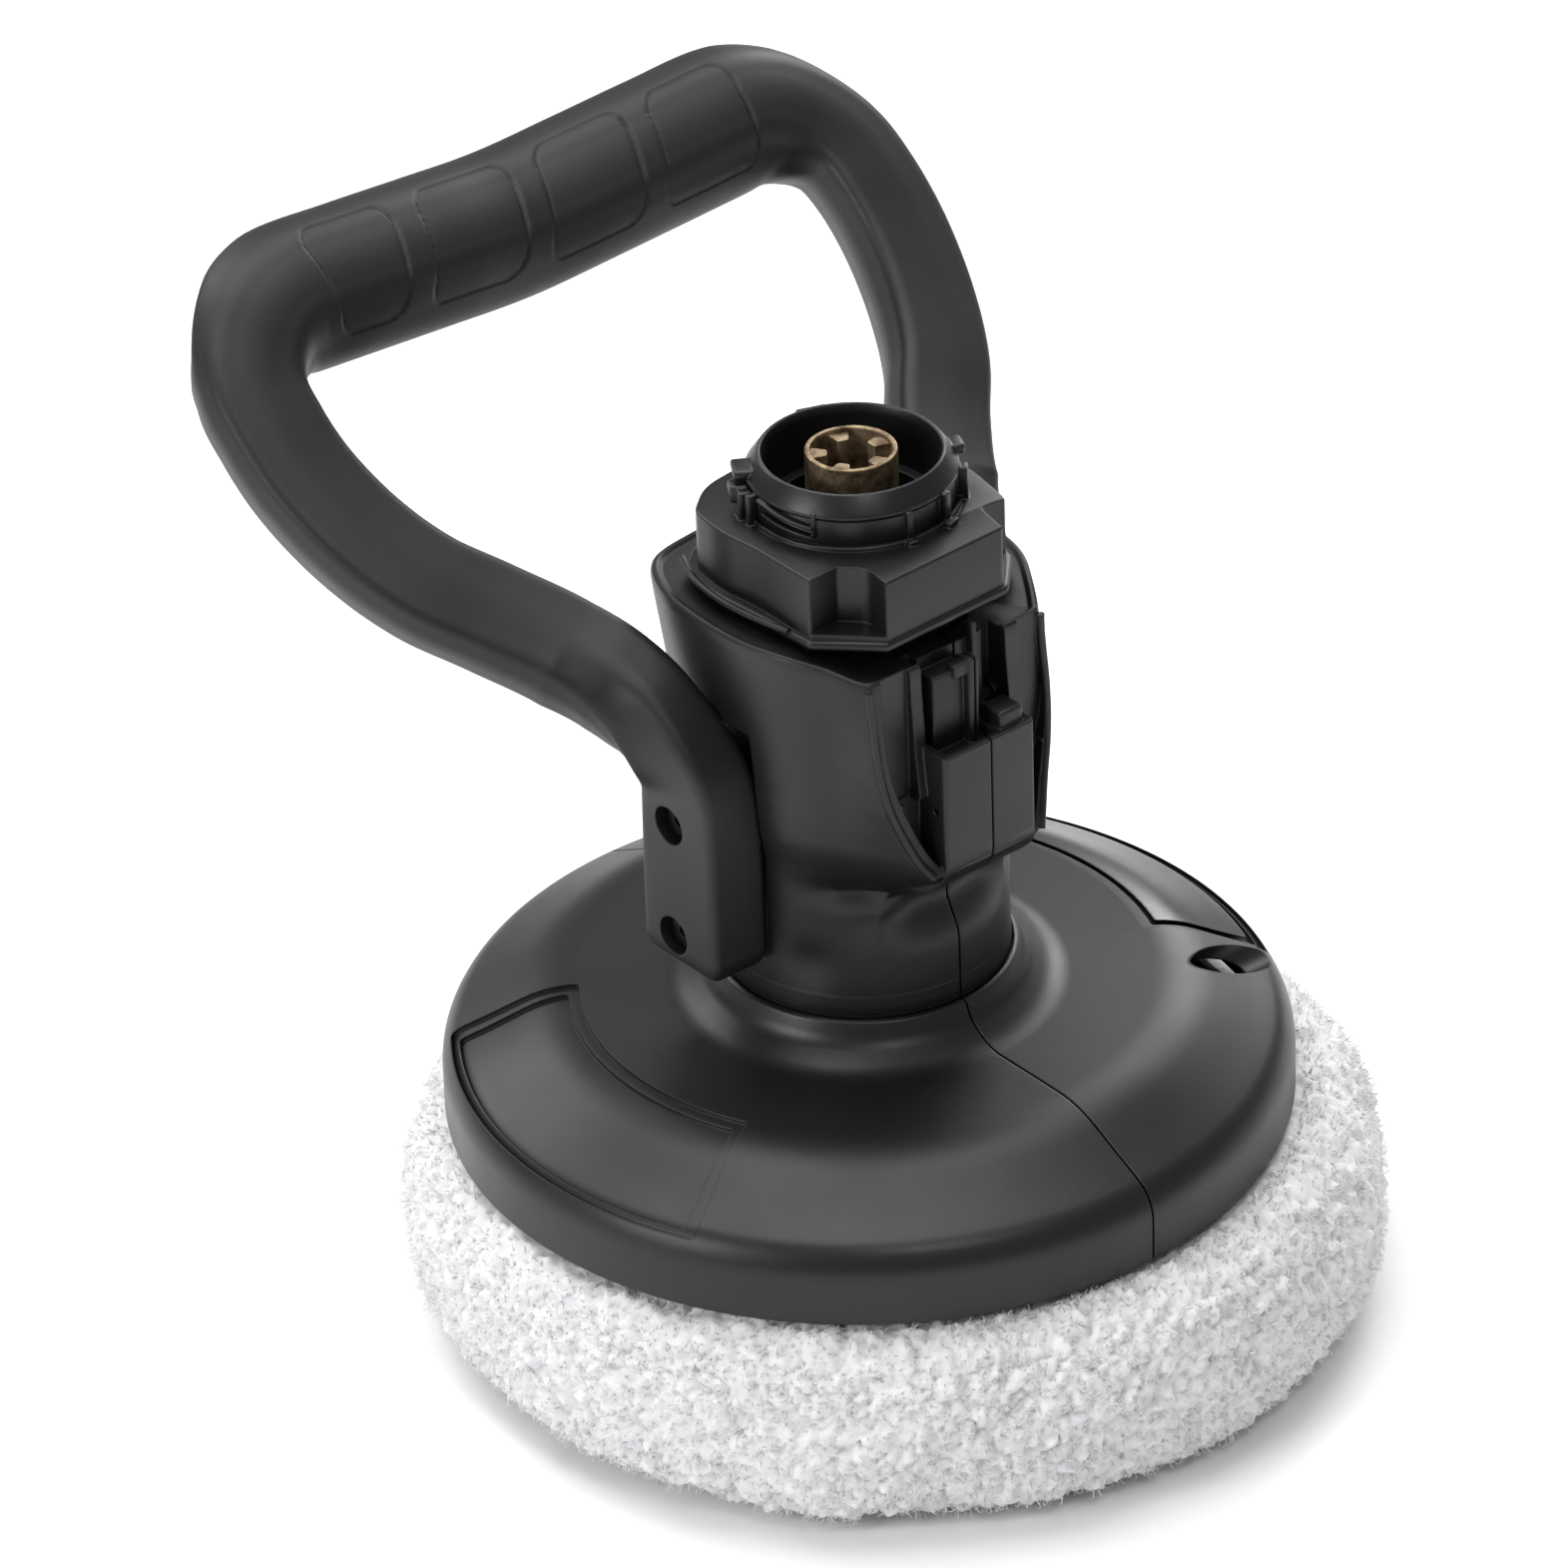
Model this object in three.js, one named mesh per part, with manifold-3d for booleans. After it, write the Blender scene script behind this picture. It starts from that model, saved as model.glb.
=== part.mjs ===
// Quick-change random-orbit polishing head: clamshell housing with a round cover disc,
// bayonet coupler and drive socket on top, a planetary reduction inside, an eccentric
// spindle with a bonneted pad below, and a bail handle screwed to both sides.
// Millimetres, +Z up. The spindle axis is the Z axis and the bonnet rests on Z = 0.
import * as THREE from "three";
import { mergeVertices } from "three/addons/utils/BufferGeometryUtils.js";
import Module from "manifold-3d";

const wasm = await Module();
wasm.setup();

// ---------------------------------------------------------------- driving dimensions
const GAP = 0.3; // clearance between pieces that touch
const EPS = 0.05; // overrun of a cutting tool past the face it cuts
const FACETS = { large: 36, medium: 24, small: 16 }; // sides of round surfaces by size
const ORBIT = { x: 3.55, y: -2.92 }; // pad axis off the spindle axis

const SKIRT_Z = 42; // lower edge of the cover disc
const DISC_R = 82.5;
const DISC_RISE = 25; // height of the disc's flat top above the skirt's lower edge
const WALL = 2.5;
const NECK_R = 28;
const NECK_TOP = SKIRT_Z + 65;
const RIM_Z = SKIRT_Z + 116; // top of the housing shells
const BLOCK_Z = RIM_Z + GAP; // underside of the coupler block
const BLOCK_TOP = SKIRT_Z + 130.7;
const RING_TOP = SKIRT_Z + 141.1;

const MODULE = 1;
const SUN_TEETH = 12;
const PLANET_TEETH = 12;
const RING_TEETH = 36;
const PLANETS = 3;
const CENTRE_DISTANCE = (MODULE * (SUN_TEETH + PLANET_TEETH)) / 2;
const GEAR_Z = 112;
const GEAR_WIDTH = 9;
const RING_GEAR_R = 22;

const PAD_R = 78;
const BONNET_R = 94;
const BONNET_TOP = 40.6;
const FOAM_Z = 9.5;
const PLATE_Z = 31;
const PLATE_TOP = 37;

const FOOT = { inner: 28.3, outer: 41, front: -5.2, back: 16, bottom: 84, top: 120 };
const FOOT_SCREW_Y = 7.3;
const FOOT_SCREW_Z = [SKIRT_Z + 47.7, SKIRT_Z + 72.3];

const BOX = { half: 11.3, front: -38.5, bottom: SKIRT_Z + 66, top: SKIRT_Z + 95 };
const CHANNEL_BACK = -31.5;

// --------------------------------------------------------------------------- helpers
const { degToRad: rad, lerp } = THREE.MathUtils;
const vec = (x, y, z) => new THREE.Vector3(x, y, z);

function solidFromTriangles(positions, triangles) {
  const vertProperties = new Float32Array(positions);
  const kept = [];
  for (let i = 0; i < triangles.length; i += 3) {
    const [a, b, c] = [triangles[i], triangles[i + 1], triangles[i + 2]];
    if (a !== b && b !== c && c !== a) kept.push(a, b, c);
  }
  const build = (list) =>
    new wasm.Manifold(new wasm.Mesh({ numProp: 3, vertProperties, triVerts: new Uint32Array(list) }));
  const made = build(kept);
  if (made.volume() >= 0) return made;
  return build(kept.reverse());
}

function solid(geometry) {
  const bare = geometry.index ? geometry.toNonIndexed() : geometry.clone();
  bare.deleteAttribute("normal");
  bare.deleteAttribute("uv");
  const merged = mergeVertices(bare, 1e-4);
  return solidFromTriangles(merged.attributes.position.array, merged.index.array);
}

// A profile of [radius, z] points turned about an upright axis at (x, y).
function turned(profile, segments = FACETS.small, x = 0, y = 0) {
  const points = profile.map(([r, z]) => new THREE.Vector2(r, z));
  const geometry = new THREE.LatheGeometry(points, segments);
  return solid(geometry.rotateX(Math.PI / 2).translate(x, y, 0));
}

// An upright ring or disc between two radii and two heights.
function ring(inner, outer, bottom, top, segments = FACETS.small, x = 0, y = 0) {
  const profile =
    inner > 0
      ? [[inner, bottom], [outer, bottom], [outer, top], [inner, top], [inner, bottom]]
      : [[0, bottom], [outer, bottom], [outer, top], [0, top]];
  return turned(profile, segments, x, y);
}

// A rod along X from x0 to x1.
function rodX(radius, x0, x1, y, z, segments = 12) {
  const geometry = new THREE.CylinderGeometry(radius, radius, x1 - x0, segments);
  return solid(geometry.rotateZ(Math.PI / 2).translate((x0 + x1) / 2, y, z));
}

function box(x0, x1, y0, y1, z0, z1) {
  const geometry = new THREE.BoxGeometry(x1 - x0, y1 - y0, z1 - z0);
  return solid(geometry.translate((x0 + x1) / 2, (y0 + y1) / 2, (z0 + z1) / 2));
}

function prism(shape, bottom, top, curveSegments = 8) {
  const settings = { depth: top - bottom, bevelEnabled: false, curveSegments };
  return solid(new THREE.ExtrudeGeometry(shape, settings).translate(0, 0, bottom));
}

function polygon(points) {
  return new THREE.Shape(points.map(([x, y]) => new THREE.Vector2(x, y)));
}

// A solid through rings of points, each ring with the same count, closed by end fans.
function loft(rings) {
  const count = rings[0].length;
  const positions = rings.flat().flatMap((p) => [p.x, p.y, p.z]);
  const triangles = [];
  for (let r = 0; r < rings.length - 1; r++) {
    for (let i = 0; i < count; i++) {
      const a = r * count + i;
      const b = r * count + ((i + 1) % count);
      triangles.push(a, b, b + count, a, b + count, a + count);
    }
  }
  const ends = [[0, 1], [rings.length - 1, -1]];
  for (const [r, side] of ends) {
    const middle = rings[r].reduce((sum, p) => sum.add(p), vec(0, 0, 0)).divideScalar(count);
    const hub = positions.length / 3;
    positions.push(middle.x, middle.y, middle.z);
    for (let i = 0; i < count; i++) {
      const a = r * count + i;
      const b = r * count + ((i + 1) % count);
      if (side > 0) triangles.push(hub, b, a);
      else triangles.push(hub, a, b);
    }
  }
  return solidFromTriangles(positions, triangles);
}

const union = (list) => list.reduce((whole, piece) => whole.add(piece));
const cut = (whole, tools) => tools.reduce((left, tool) => left.subtract(tool), whole);
const mirrorX = (points) => points.map(([x, y]) => [-x, y]);

// ------------------------------------------------------------------------- materials
const finish = (color, roughness, metalness) =>
  new THREE.MeshStandardMaterial({ color, roughness, metalness });
const MATERIALS = {
  nylon: finish(0x232325, 0.62, 0),
  nylonDark: finish(0x1b1b1d, 0.55, 0),
  grip: finish(0x202022, 0.75, 0),
  sintered: finish(0x8a7458, 0.45, 0.9),
  steel: finish(0xb4b6b8, 0.35, 1),
  darkSteel: finish(0x6a6c70, 0.4, 1),
  castZinc: finish(0x8c8e90, 0.55, 0.8),
  felt: finish(0x5c5850, 0.95, 0),
  foam: finish(0x2f3338, 0.95, 0),
  wool: finish(0xf1f0ec, 0.95, 0),
  label: finish(0x151517, 0.3, 0),
};

const head = new THREE.Group();

function place(parent, name, made, material) {
  const { numProp, vertProperties, triVerts, numVert } = made.getMesh();
  const positions = new Float32Array(numVert * 3);
  for (let i = 0; i < numVert; i++) {
    positions.set(vertProperties.subarray(i * numProp, i * numProp + 3), i * 3);
  }
  const geometry = new THREE.BufferGeometry();
  geometry.setAttribute("position", new THREE.BufferAttribute(positions, 3));
  geometry.setIndex(new THREE.BufferAttribute(triVerts, 1));
  geometry.computeVertexNormals();
  const mesh = new THREE.Mesh(geometry, material);
  mesh.name = name;
  parent.add(mesh);
  return mesh;
}

// --------------------------------------------------------------------------- housing
// Outside of the cover disc from its rim to its flat top, lowered by a skin depth.
function discOutside(depth) {
  return [
    [DISC_R - depth, SKIRT_Z + 11.2 - depth * 0.3],
    [DISC_R - 2.4 - depth * 0.9, SKIRT_Z + 15.4 - depth * 0.7],
    [73.1 - depth * 0.5, SKIRT_Z + 19 - depth],
    [62.9 - depth * 0.4, SKIRT_Z + 24.1 - depth],
    [59.2 - depth * 0.2, SKIRT_Z + DISC_RISE - depth],
  ];
}

function discShell() {
  const outside = [
    [0, SKIRT_Z],
    [DISC_R, SKIRT_Z],
    ...discOutside(0),
    [35.6, SKIRT_Z + DISC_RISE],
    [31.2, SKIRT_Z + 28.8],
    [NECK_R + 0.6, SKIRT_Z + 32.3],
    [NECK_R, SKIRT_Z + 34],
    [NECK_R, NECK_TOP],
    [0, NECK_TOP],
  ];
  return turned(outside, FACETS.large);
}

function discHollow() {
  const inside = [
    [0, SKIRT_Z - EPS],
    [DISC_R - WALL, SKIRT_Z - EPS],
    ...discOutside(WALL),
    [30, SKIRT_Z + DISC_RISE - WALL],
    [0, SKIRT_Z + DISC_RISE - WALL],
  ];
  return turned(inside, FACETS.large);
}

// Shallow panel let into the disc's shoulder, between two skin depths.
const PANEL_TURN = rad(6.2); // its middle, round from the X axis towards the back
function shoulderPanel(topDepth, floorDepth, innerR, outerR, halfAngle, side) {
  const over = discOutside(topDepth);
  const under = discOutside(floorDepth);
  const band = turned([...under, ...over.reverse(), under[0]], FACETS.large);
  const reach = DISC_R + 5;
  const wedge = new THREE.Shape();
  const turn = side > 0 ? PANEL_TURN : Math.PI - PANEL_TURN;
  wedge.absarc(0, 0, reach, turn - halfAngle, turn + halfAngle, false);
  wedge.absarc(0, 0, innerR, turn + halfAngle, turn - halfAngle, true);
  const within = prism(wedge, SKIRT_Z, SKIRT_Z + 40, 12);
  const rim = ring(0, outerR, SKIRT_Z, SKIRT_Z + 40, FACETS.large);
  return band.intersect(within).intersect(rim);
}

// The upper body's outline near its top rim, front at -Y, right half.
const BODY_HALF = [
  [0, 31.5],
  [14, 31.3],
  [25, 28.5],
  [31.2, 18],
  [33, 6],
  [32.8, -7],
  [30.3, -17],
  [26.4, -23.8],
  [21.6, -30.3],
  [12, -32],
  [0, -32.4],
];

function bodyOutline(points) {
  const half = BODY_HALF.map(([x, y]) => vec(x, y, 0));
  const other = mirrorX(BODY_HALF.slice(1, -1)).reverse().map(([x, y]) => vec(x, y, 0));
  const curve = new THREE.CatmullRomCurve3([...half, ...other], true, "centripetal");
  return curve.getSpacedPoints(points).slice(0, points);
}

// The body opens from the round neck to its full outline, sooner at the front than the sides.
function upperBody() {
  const outline = bodyOutline(32);
  const levels = [
    { z: NECK_TOP - 5, wide: 0, deep: 0 },
    { z: NECK_TOP, wide: 0.15, deep: 0.45 },
    { z: NECK_TOP + 7, wide: 0.3, deep: 0.75 },
    { z: NECK_TOP + 22, wide: 0.45, deep: 0.95 },
    { z: NECK_TOP + 36, wide: 0.7, deep: 1 },
    { z: RIM_Z - 3, wide: 1, deep: 1 },
    { z: RIM_Z - 1, wide: 0.98, deep: 0.98 },
    { z: RIM_Z, wide: 0.9, deep: 0.9 },
  ];
  const rings = levels.map(({ z, wide, deep }) =>
    outline.map((p) => {
      const round = p.clone().setLength(NECK_R - 0.2);
      return vec(lerp(round.x, p.x, wide), lerp(round.y, p.y, deep), z);
    }),
  );
  return loft(rings);
}

function frontBox() {
  const { half, front, bottom, top } = BOX;
  const side = [[front, top], [front, bottom + 6], [front + 9, bottom - 4], [-20, bottom - 4], [-20, top]];
  const settings = { depth: 2 * half, bevelEnabled: false };
  const geometry = new THREE.ExtrudeGeometry(polygon(side), settings);
  geometry.rotateX(Math.PI / 2).rotateZ(Math.PI / 2).translate(-half, 0, 0);
  return solid(geometry);
}

// Tubes inside the disc that carry the clamshell screws, running along X.
const DISC_SCREW = { y: 38, z: SKIRT_Z + 19.5, bore: 4.4, boss: 6.4, seat: 14 };
const NECK_SCREWS = [
  { y: 26.4, z: SKIRT_Z + 77 },
  { y: 26.4, z: SKIRT_Z + 101 },
  { y: -26.2, z: SKIRT_Z + 96 },
];
const NECK_BORE = 3.2;
const NECK_SEAT = 9;

function discBosses() {
  const skin = discShell();
  const rods = [-1, 1].map((side) =>
    rodX(DISC_SCREW.boss, -DISC_R, DISC_R, side * DISC_SCREW.y, DISC_SCREW.z, 16),
  );
  const inside = ring(0, 80.5, SKIRT_Z, SKIRT_Z + 24.4, FACETS.large);
  return union(rods).intersect(skin).intersect(inside);
}

function footPads() {
  const { front, back, bottom, top } = FOOT;
  return [-1, 1].map((side) => {
    const x0 = side > 0 ? 18 : -FOOT.inner + GAP;
    const x1 = side > 0 ? FOOT.inner - GAP : -18;
    return box(x0, x1, front + 0.6, back - 0.6, bottom + 1, top);
  });
}

// Flat-sided pocket in the body's flank where a handle foot and the start of its arm sit.
function footPocket(side) {
  const { inner, front, back, bottom } = FOOT;
  const near = inner - GAP;
  const side0 = side > 0 ? near : -near - 20;
  return box(side0, side0 + 20, front - 0.4, back + 2, bottom - 0.4, NECK_TOP + 29);
}

// Seats for the bearings, the gears and the coupler's spigot, from the skirt upwards.
function gearboxHollow() {
  return turned(
    [
      [0, SKIRT_Z + 20],
      [17.4, SKIRT_Z + 20],
      [17.4, 68],
      [16.3, 68],
      [16.3, 78.6],
      [13.5, 78.6],
      [13.5, 80.5],
      [22.5, 83],
      [22.5, 93],
      [12.5, 96],
      [12.5, 97.5],
      [14.3, 97.5],
      [14.3, 106],
      [RING_GEAR_R + GAP, 107],
      [RING_GEAR_R + GAP, 125.4],
      [9, 125.4],
      [9, 127.6],
      [11.3, 127.6],
      [11.3, 135.4],
      [16, 137],
      [16, 150.2],
      [23.8, 150.2],
      [23.8, RIM_Z + EPS],
      [0, RIM_Z + EPS],
    ],
    FACETS.medium,
  );
}

function housing() {
  const disc = cut(discShell(), [discHollow()]);
  const neckCore = ring(0, NECK_R - 1, SKIRT_Z + 21, NECK_TOP - 2, FACETS.medium);
  const shoulder = upperBody();
  const whole = union([disc, neckCore, shoulder, frontBox(), ...footPads(), discBosses()]);
  const { half, top } = BOX;
  const channel = box(-half + 1.2, half - 1.2, -45, CHANNEL_BACK, top, RIM_Z + 5);
  const mouth = box(-half - 1.5, half + 1.5, -45, CHANNEL_BACK - 2.6, top, RIM_Z + 5);
  const pocket = box(-half + 2, half - 2, -36.4, CHANNEL_BACK, SKIRT_Z + 78, top + EPS);
  const tools = [gearboxHollow(), channel, mouth, pocket];
  for (const side of [-1, 1]) {
    tools.push(shoulderPanel(-2, 1, 56, 80, rad(32), side));
    const y = side * DISC_SCREW.y;
    tools.push(rodX(DISC_SCREW.bore, DISC_SCREW.seat, DISC_R + 5, y, DISC_SCREW.z));
    tools.push(rodX(2, -16, DISC_R, y, DISC_SCREW.z));
    for (const z of FOOT_SCREW_Z) {
      tools.push(rodX(2, side > 0 ? 24.5 : -35, side > 0 ? 35 : -24.5, FOOT_SCREW_Y, z));
    }
    tools.push(footPocket(side));
  }
  for (const { y, z } of NECK_SCREWS) {
    tools.push(rodX(NECK_BORE, NECK_SEAT, 45, y, z));
    tools.push(rodX(1.9, -12, 20, y, z));
  }
  const tongue = union([
    box(-3.2, 3.2, -35, CHANNEL_BACK + 1, top - 17, top + 13),
    box(-6, 6, -33.2, CHANNEL_BACK + 1, top - 17, top + 9),
  ]);
  return cut(whole, tools).add(tongue);
}

function housingHalves() {
  const whole = housing();
  const reach = 120;
  const leftSpace = box(-reach, -GAP / 2, -reach, reach, 0, 250);
  const rightSpace = box(GAP / 2, reach, -reach, reach, 0, 250);
  place(head, "housing_left", whole.intersect(leftSpace), MATERIALS.nylon);
  place(head, "housing_right", whole.intersect(rightSpace), MATERIALS.nylon);
  const label = shoulderPanel(0.1, 0.7, 58, 78, rad(29), 1);
  place(head, "label_plate", label, MATERIALS.label);
}

// --------------------------------------------------------------------------- coupler
const RING = { inner: 15.6, rim: 17.4, skirt: 20.8, floor: BLOCK_TOP - 6.5 };
const SOCKET_R = 8.73;
const LUG_ANGLES = [147, 156, 261, 288, 318];

// Plan outline of the block, which is longer to its left than to its right.
const BLOCK = [
  [-16.3, -28.6],
  [10.4, -29.8],
  [20.6, -18.2],
  [23.6, -5],
  [23, 14],
  [17, 22],
  [0, 24.4],
  [-18, 22],
  [-25, 16.2],
  [-26.6, 7.2],
  [-25.7, -2],
  [-24.2, -17.2],
];
const CORNER_NOTCH = [[-26.5, -17], [-18.2, -18.8], [-16.4, -28.3], [-17, -34], [-30, -30]];
const FLANGE_LIP = 2.2; // how far the flange stands out past the block

// Ribs and bayonet lugs stand out from the coupling ring as small upright bars.
function ringLugs() {
  return LUG_ANGLES.map((angle) => {
    const bar = new THREE.BoxGeometry(3.4, 2.2, 7.5);
    bar.translate(20.6, 0, BLOCK_TOP + 3.6).rotateZ(rad(angle));
    return solid(bar);
  });
}

function couplerBody() {
  const block = prism(polygon(BLOCK), BLOCK_Z, BLOCK_TOP);
  const lip = BLOCK.map(([x, y]) => vec(x, y, 0)).map((p) => p.setLength(p.length() + FLANGE_LIP));
  const flange = prism(polygon(lip.map(({ x, y }) => [x, y])), BLOCK_Z, BLOCK_Z + FLANGE_LIP);
  const wall = turned(
    [
      [0, BLOCK_TOP - 1],
      [RING.skirt - 0.8, BLOCK_TOP - 1],
      [RING.skirt - 0.8, BLOCK_TOP + 4],
      [RING.skirt, BLOCK_TOP + 5],
      [RING.rim, RING_TOP],
      [0, RING_TOP],
    ],
    FACETS.medium,
  );
  const spigot = ring(0, 23.4, 151.2, BLOCK_Z + 1, FACETS.medium);
  const hollow = turned(
    [
      [0, 151],
      [13, 151],
      [13, 156],
      [SOCKET_R + 1.2, 159],
      [SOCKET_R + 1.2, RING.floor],
      [RING.inner, RING.floor],
      [RING.inner, RING_TOP - 1.5],
      [RING.rim - 0.5, RING_TOP + EPS],
      [0, RING_TOP + EPS],
    ],
    FACETS.medium,
  );
  const notch = prism(polygon(CORNER_NOTCH), BLOCK_Z + FLANGE_LIP + 0.7, BLOCK_TOP + EPS);
  const whole = union([block, flange, wall, spigot, ...ringLugs()]);
  place(head, "coupler_body", cut(whole, [hollow, notch]), MATERIALS.nylonDark);
}

// ----------------------------------------------------------------------------- gears
// Angle between the pressure line and the flank's start, for an involute flank.
const involute = (angle) => Math.tan(angle) - angle;
const PRESSURE = rad(25);
const ADDENDUM = 0.8 * MODULE;
const DEDENDUM = 1.05 * MODULE;
const BACKLASH = 0.16;

// Half a tooth's angle at a radius; inside the base circle the flank runs straight in.
function halfTooth(teeth, radius, thinning) {
  const pitchR = (MODULE * teeth) / 2;
  const baseR = pitchR * Math.cos(PRESSURE);
  const here = Math.acos(Math.min(1, baseR / radius));
  const atPitch = Math.PI / (2 * teeth) - thinning / (2 * pitchR);
  return atPitch + involute(PRESSURE) - involute(here);
}

function toothedOutline(teeth, outward) {
  const pitchR = (MODULE * teeth) / 2;
  const tipR = pitchR + (outward ? ADDENDUM : -ADDENDUM);
  const rootR = pitchR + (outward ? -DEDENDUM : DEDENDUM);
  const points = [];
  for (let i = 0; i < teeth; i++) {
    const middle = (2 * Math.PI * i) / teeth;
    const flank = [rootR, tipR].map((r) => {
      const half = outward
        ? halfTooth(teeth, r, BACKLASH)
        : Math.PI / teeth - halfTooth(teeth, r, -BACKLASH);
      return [r, half];
    });
    for (const [r, half] of flank) points.push([r, middle - half]);
    for (const [r, half] of flank.reverse()) points.push([r, middle + half]);
  }
  return points.map(([r, a]) => new THREE.Vector2(r * Math.cos(a), r * Math.sin(a)));
}

function spurGear(teeth, bore, bottom, width) {
  const shape = new THREE.Shape(toothedOutline(teeth, true));
  shape.holes.push(new THREE.Path().absarc(0, 0, bore, 0, 2 * Math.PI, true));
  return prism(shape, bottom, bottom + width, 8);
}

function ringGear() {
  const body = ring(0, RING_GEAR_R, GEAR_Z, GEAR_Z + GEAR_WIDTH, 36);
  const outline = new THREE.Shape(toothedOutline(RING_TEETH, false));
  const gap = prism(outline, GEAR_Z - 1, GEAR_Z + GEAR_WIDTH + 1);
  place(head, "ring_gear", body.subtract(gap), MATERIALS.darkSteel);
}

function bearing(bore, outer, bottom, top) {
  const groove = (outer - bore) / 3;
  return turned(
    [
      [bore, bottom],
      [bore + groove, bottom],
      [bore + groove, bottom + 0.8],
      [outer - groove, bottom + 0.8],
      [outer - groove, bottom],
      [outer, bottom],
      [outer, top],
      [bore, top],
      [bore, bottom],
    ],
    FACETS.small,
  );
}

function gearbox() {
  ringGear();
  const plate = ring(8.4, RING_GEAR_R, GEAR_Z + GEAR_WIDTH + GAP, 124.8, FACETS.medium);
  place(head, "gearbox_plate", plate, MATERIALS.steel);
  place(head, "input_bearing", bearing(4.3, 11, 127.9, 135), MATERIALS.steel);
  place(head, "upper_bearing", bearing(6.3, 14, 97.8, 105.7), MATERIALS.steel);
  place(head, "lower_bearing", bearing(6.3, 16, 68.6, 78.2), MATERIALS.steel);
  place(head, "felt_seal", ring(7.6, 17, 64.8, 68), MATERIALS.felt);
}

// ----------------------------------------------------------------------- input drive
const SHAFT_R = 4;
const SOCKET = { bottom: 160.5, floor: 168, top: SKIRT_Z + 141.2, bore: 6.6, teeth: 5 };

function driveSocket() {
  const shell = turned(
    [
      [SHAFT_R + GAP, SOCKET.bottom],
      [SOCKET_R - 0.6, SOCKET.bottom],
      [SOCKET_R, SOCKET.bottom + 0.6],
      [SOCKET_R, SOCKET.top - 0.5],
      [SOCKET_R - 0.5, SOCKET.top],
      [SOCKET.bore + 0.5, SOCKET.top],
      [SOCKET.bore, SOCKET.top - 0.6],
      [SOCKET.bore, SOCKET.floor],
      [SHAFT_R + GAP, SOCKET.floor],
      [SHAFT_R + GAP, SOCKET.bottom],
    ],
    FACETS.small,
  );
  const teeth = [];
  for (let i = 0; i < SOCKET.teeth; i++) {
    const tooth = new THREE.BoxGeometry(2.6, 2.4, 12.5);
    tooth.translate(SOCKET.bore - 0.9, 0, SOCKET.top - 8.3);
    teeth.push(solid(tooth.rotateZ((2 * Math.PI * i) / SOCKET.teeth + rad(90))));
  }
  return union([shell, ...teeth]);
}

function inputDrive() {
  place(head, "drive_socket", driveSocket(), MATERIALS.sintered);
  const shaft = turned(
    [[0, 111], [3.4, 111], [3.4, 124.6], [SHAFT_R, 124.6], [SHAFT_R, 167.4], [0, 167.4]],
    20,
  );
  place(head, "input_shaft", shaft, MATERIALS.steel);
  place(head, "sun_gear", spurGear(SUN_TEETH, 3.7, GEAR_Z + 0.2, GEAR_WIDTH - 0.4), MATERIALS.darkSteel);
}

// ------------------------------------------------------------------- planets, output
const PIN_R = 2;
const PLANET_PHASE = Math.PI / PLANET_TEETH;

function planets() {
  for (let i = 0; i < PLANETS; i++) {
    const angle = (2 * Math.PI * i) / PLANETS;
    const arm = new THREE.Group();
    arm.position.set(CENTRE_DISTANCE * Math.cos(angle), CENTRE_DISTANCE * Math.sin(angle), 0);
    head.add(arm);
    const gear = spurGear(PLANET_TEETH, PIN_R + GAP, GEAR_Z + 0.2, GEAR_WIDTH - 0.4);
    place(arm, `planet_gear_${i + 1}`, gear, MATERIALS.darkSteel).rotation.z = PLANET_PHASE;
    place(arm, `planet_pin_${i + 1}`, ring(0, PIN_R, 107.6, 120.6, 12), MATERIALS.steel);
  }
}

const CUP = { radius: 17.2, bottom: 43.4, top: 60, seat: 13.2, seatTop: 56 };

function outputSpindle() {
  const carrier = cut(ring(6.3, 17.5, 107.4, 111.4, FACETS.medium), [
    ...[0, 1, 2].map((i) => {
      const angle = (2 * Math.PI * i) / PLANETS;
      const x = CENTRE_DISTANCE * Math.cos(angle);
      return ring(0, PIN_R + GAP, 107, 112, 12, x, CENTRE_DISTANCE * Math.sin(angle));
    }),
  ]);
  place(head, "carrier", carrier, MATERIALS.steel);
  const spindle = turned(
    [[0, 60.6], [9.5, 60.6], [9.5, 62.8], [7.2, 62.8], [7.2, 68.2], [6, 68.2], [6, 110.6], [0, 110.6]],
    24,
  );
  place(head, "output_spindle", spindle, MATERIALS.steel);
}

// The cup under the spindle is off centre with the pad bearing; its weight balances the pad.
function counterweight() {
  const { radius, bottom, top, seat, seatTop } = CUP;
  const cup = ring(0, radius, bottom, top, FACETS.medium, ORBIT.x, ORBIT.y);
  const away = Math.atan2(-ORBIT.y, -ORBIT.x);
  const lobe = new THREE.Shape();
  lobe.absarc(0, 0, 30, away - rad(62), away + rad(62), false);
  lobe.absarc(0, 0, 8, away + rad(62), away - rad(62), true);
  const weight = prism(lobe, bottom + 5, top, 10);
  const hollow = ring(0, seat, bottom - 1, seatTop, FACETS.medium, ORBIT.x, ORBIT.y);
  const made = cup.add(weight).subtract(hollow);
  place(head, "counterweight", made, MATERIALS.castZinc);
}

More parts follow.
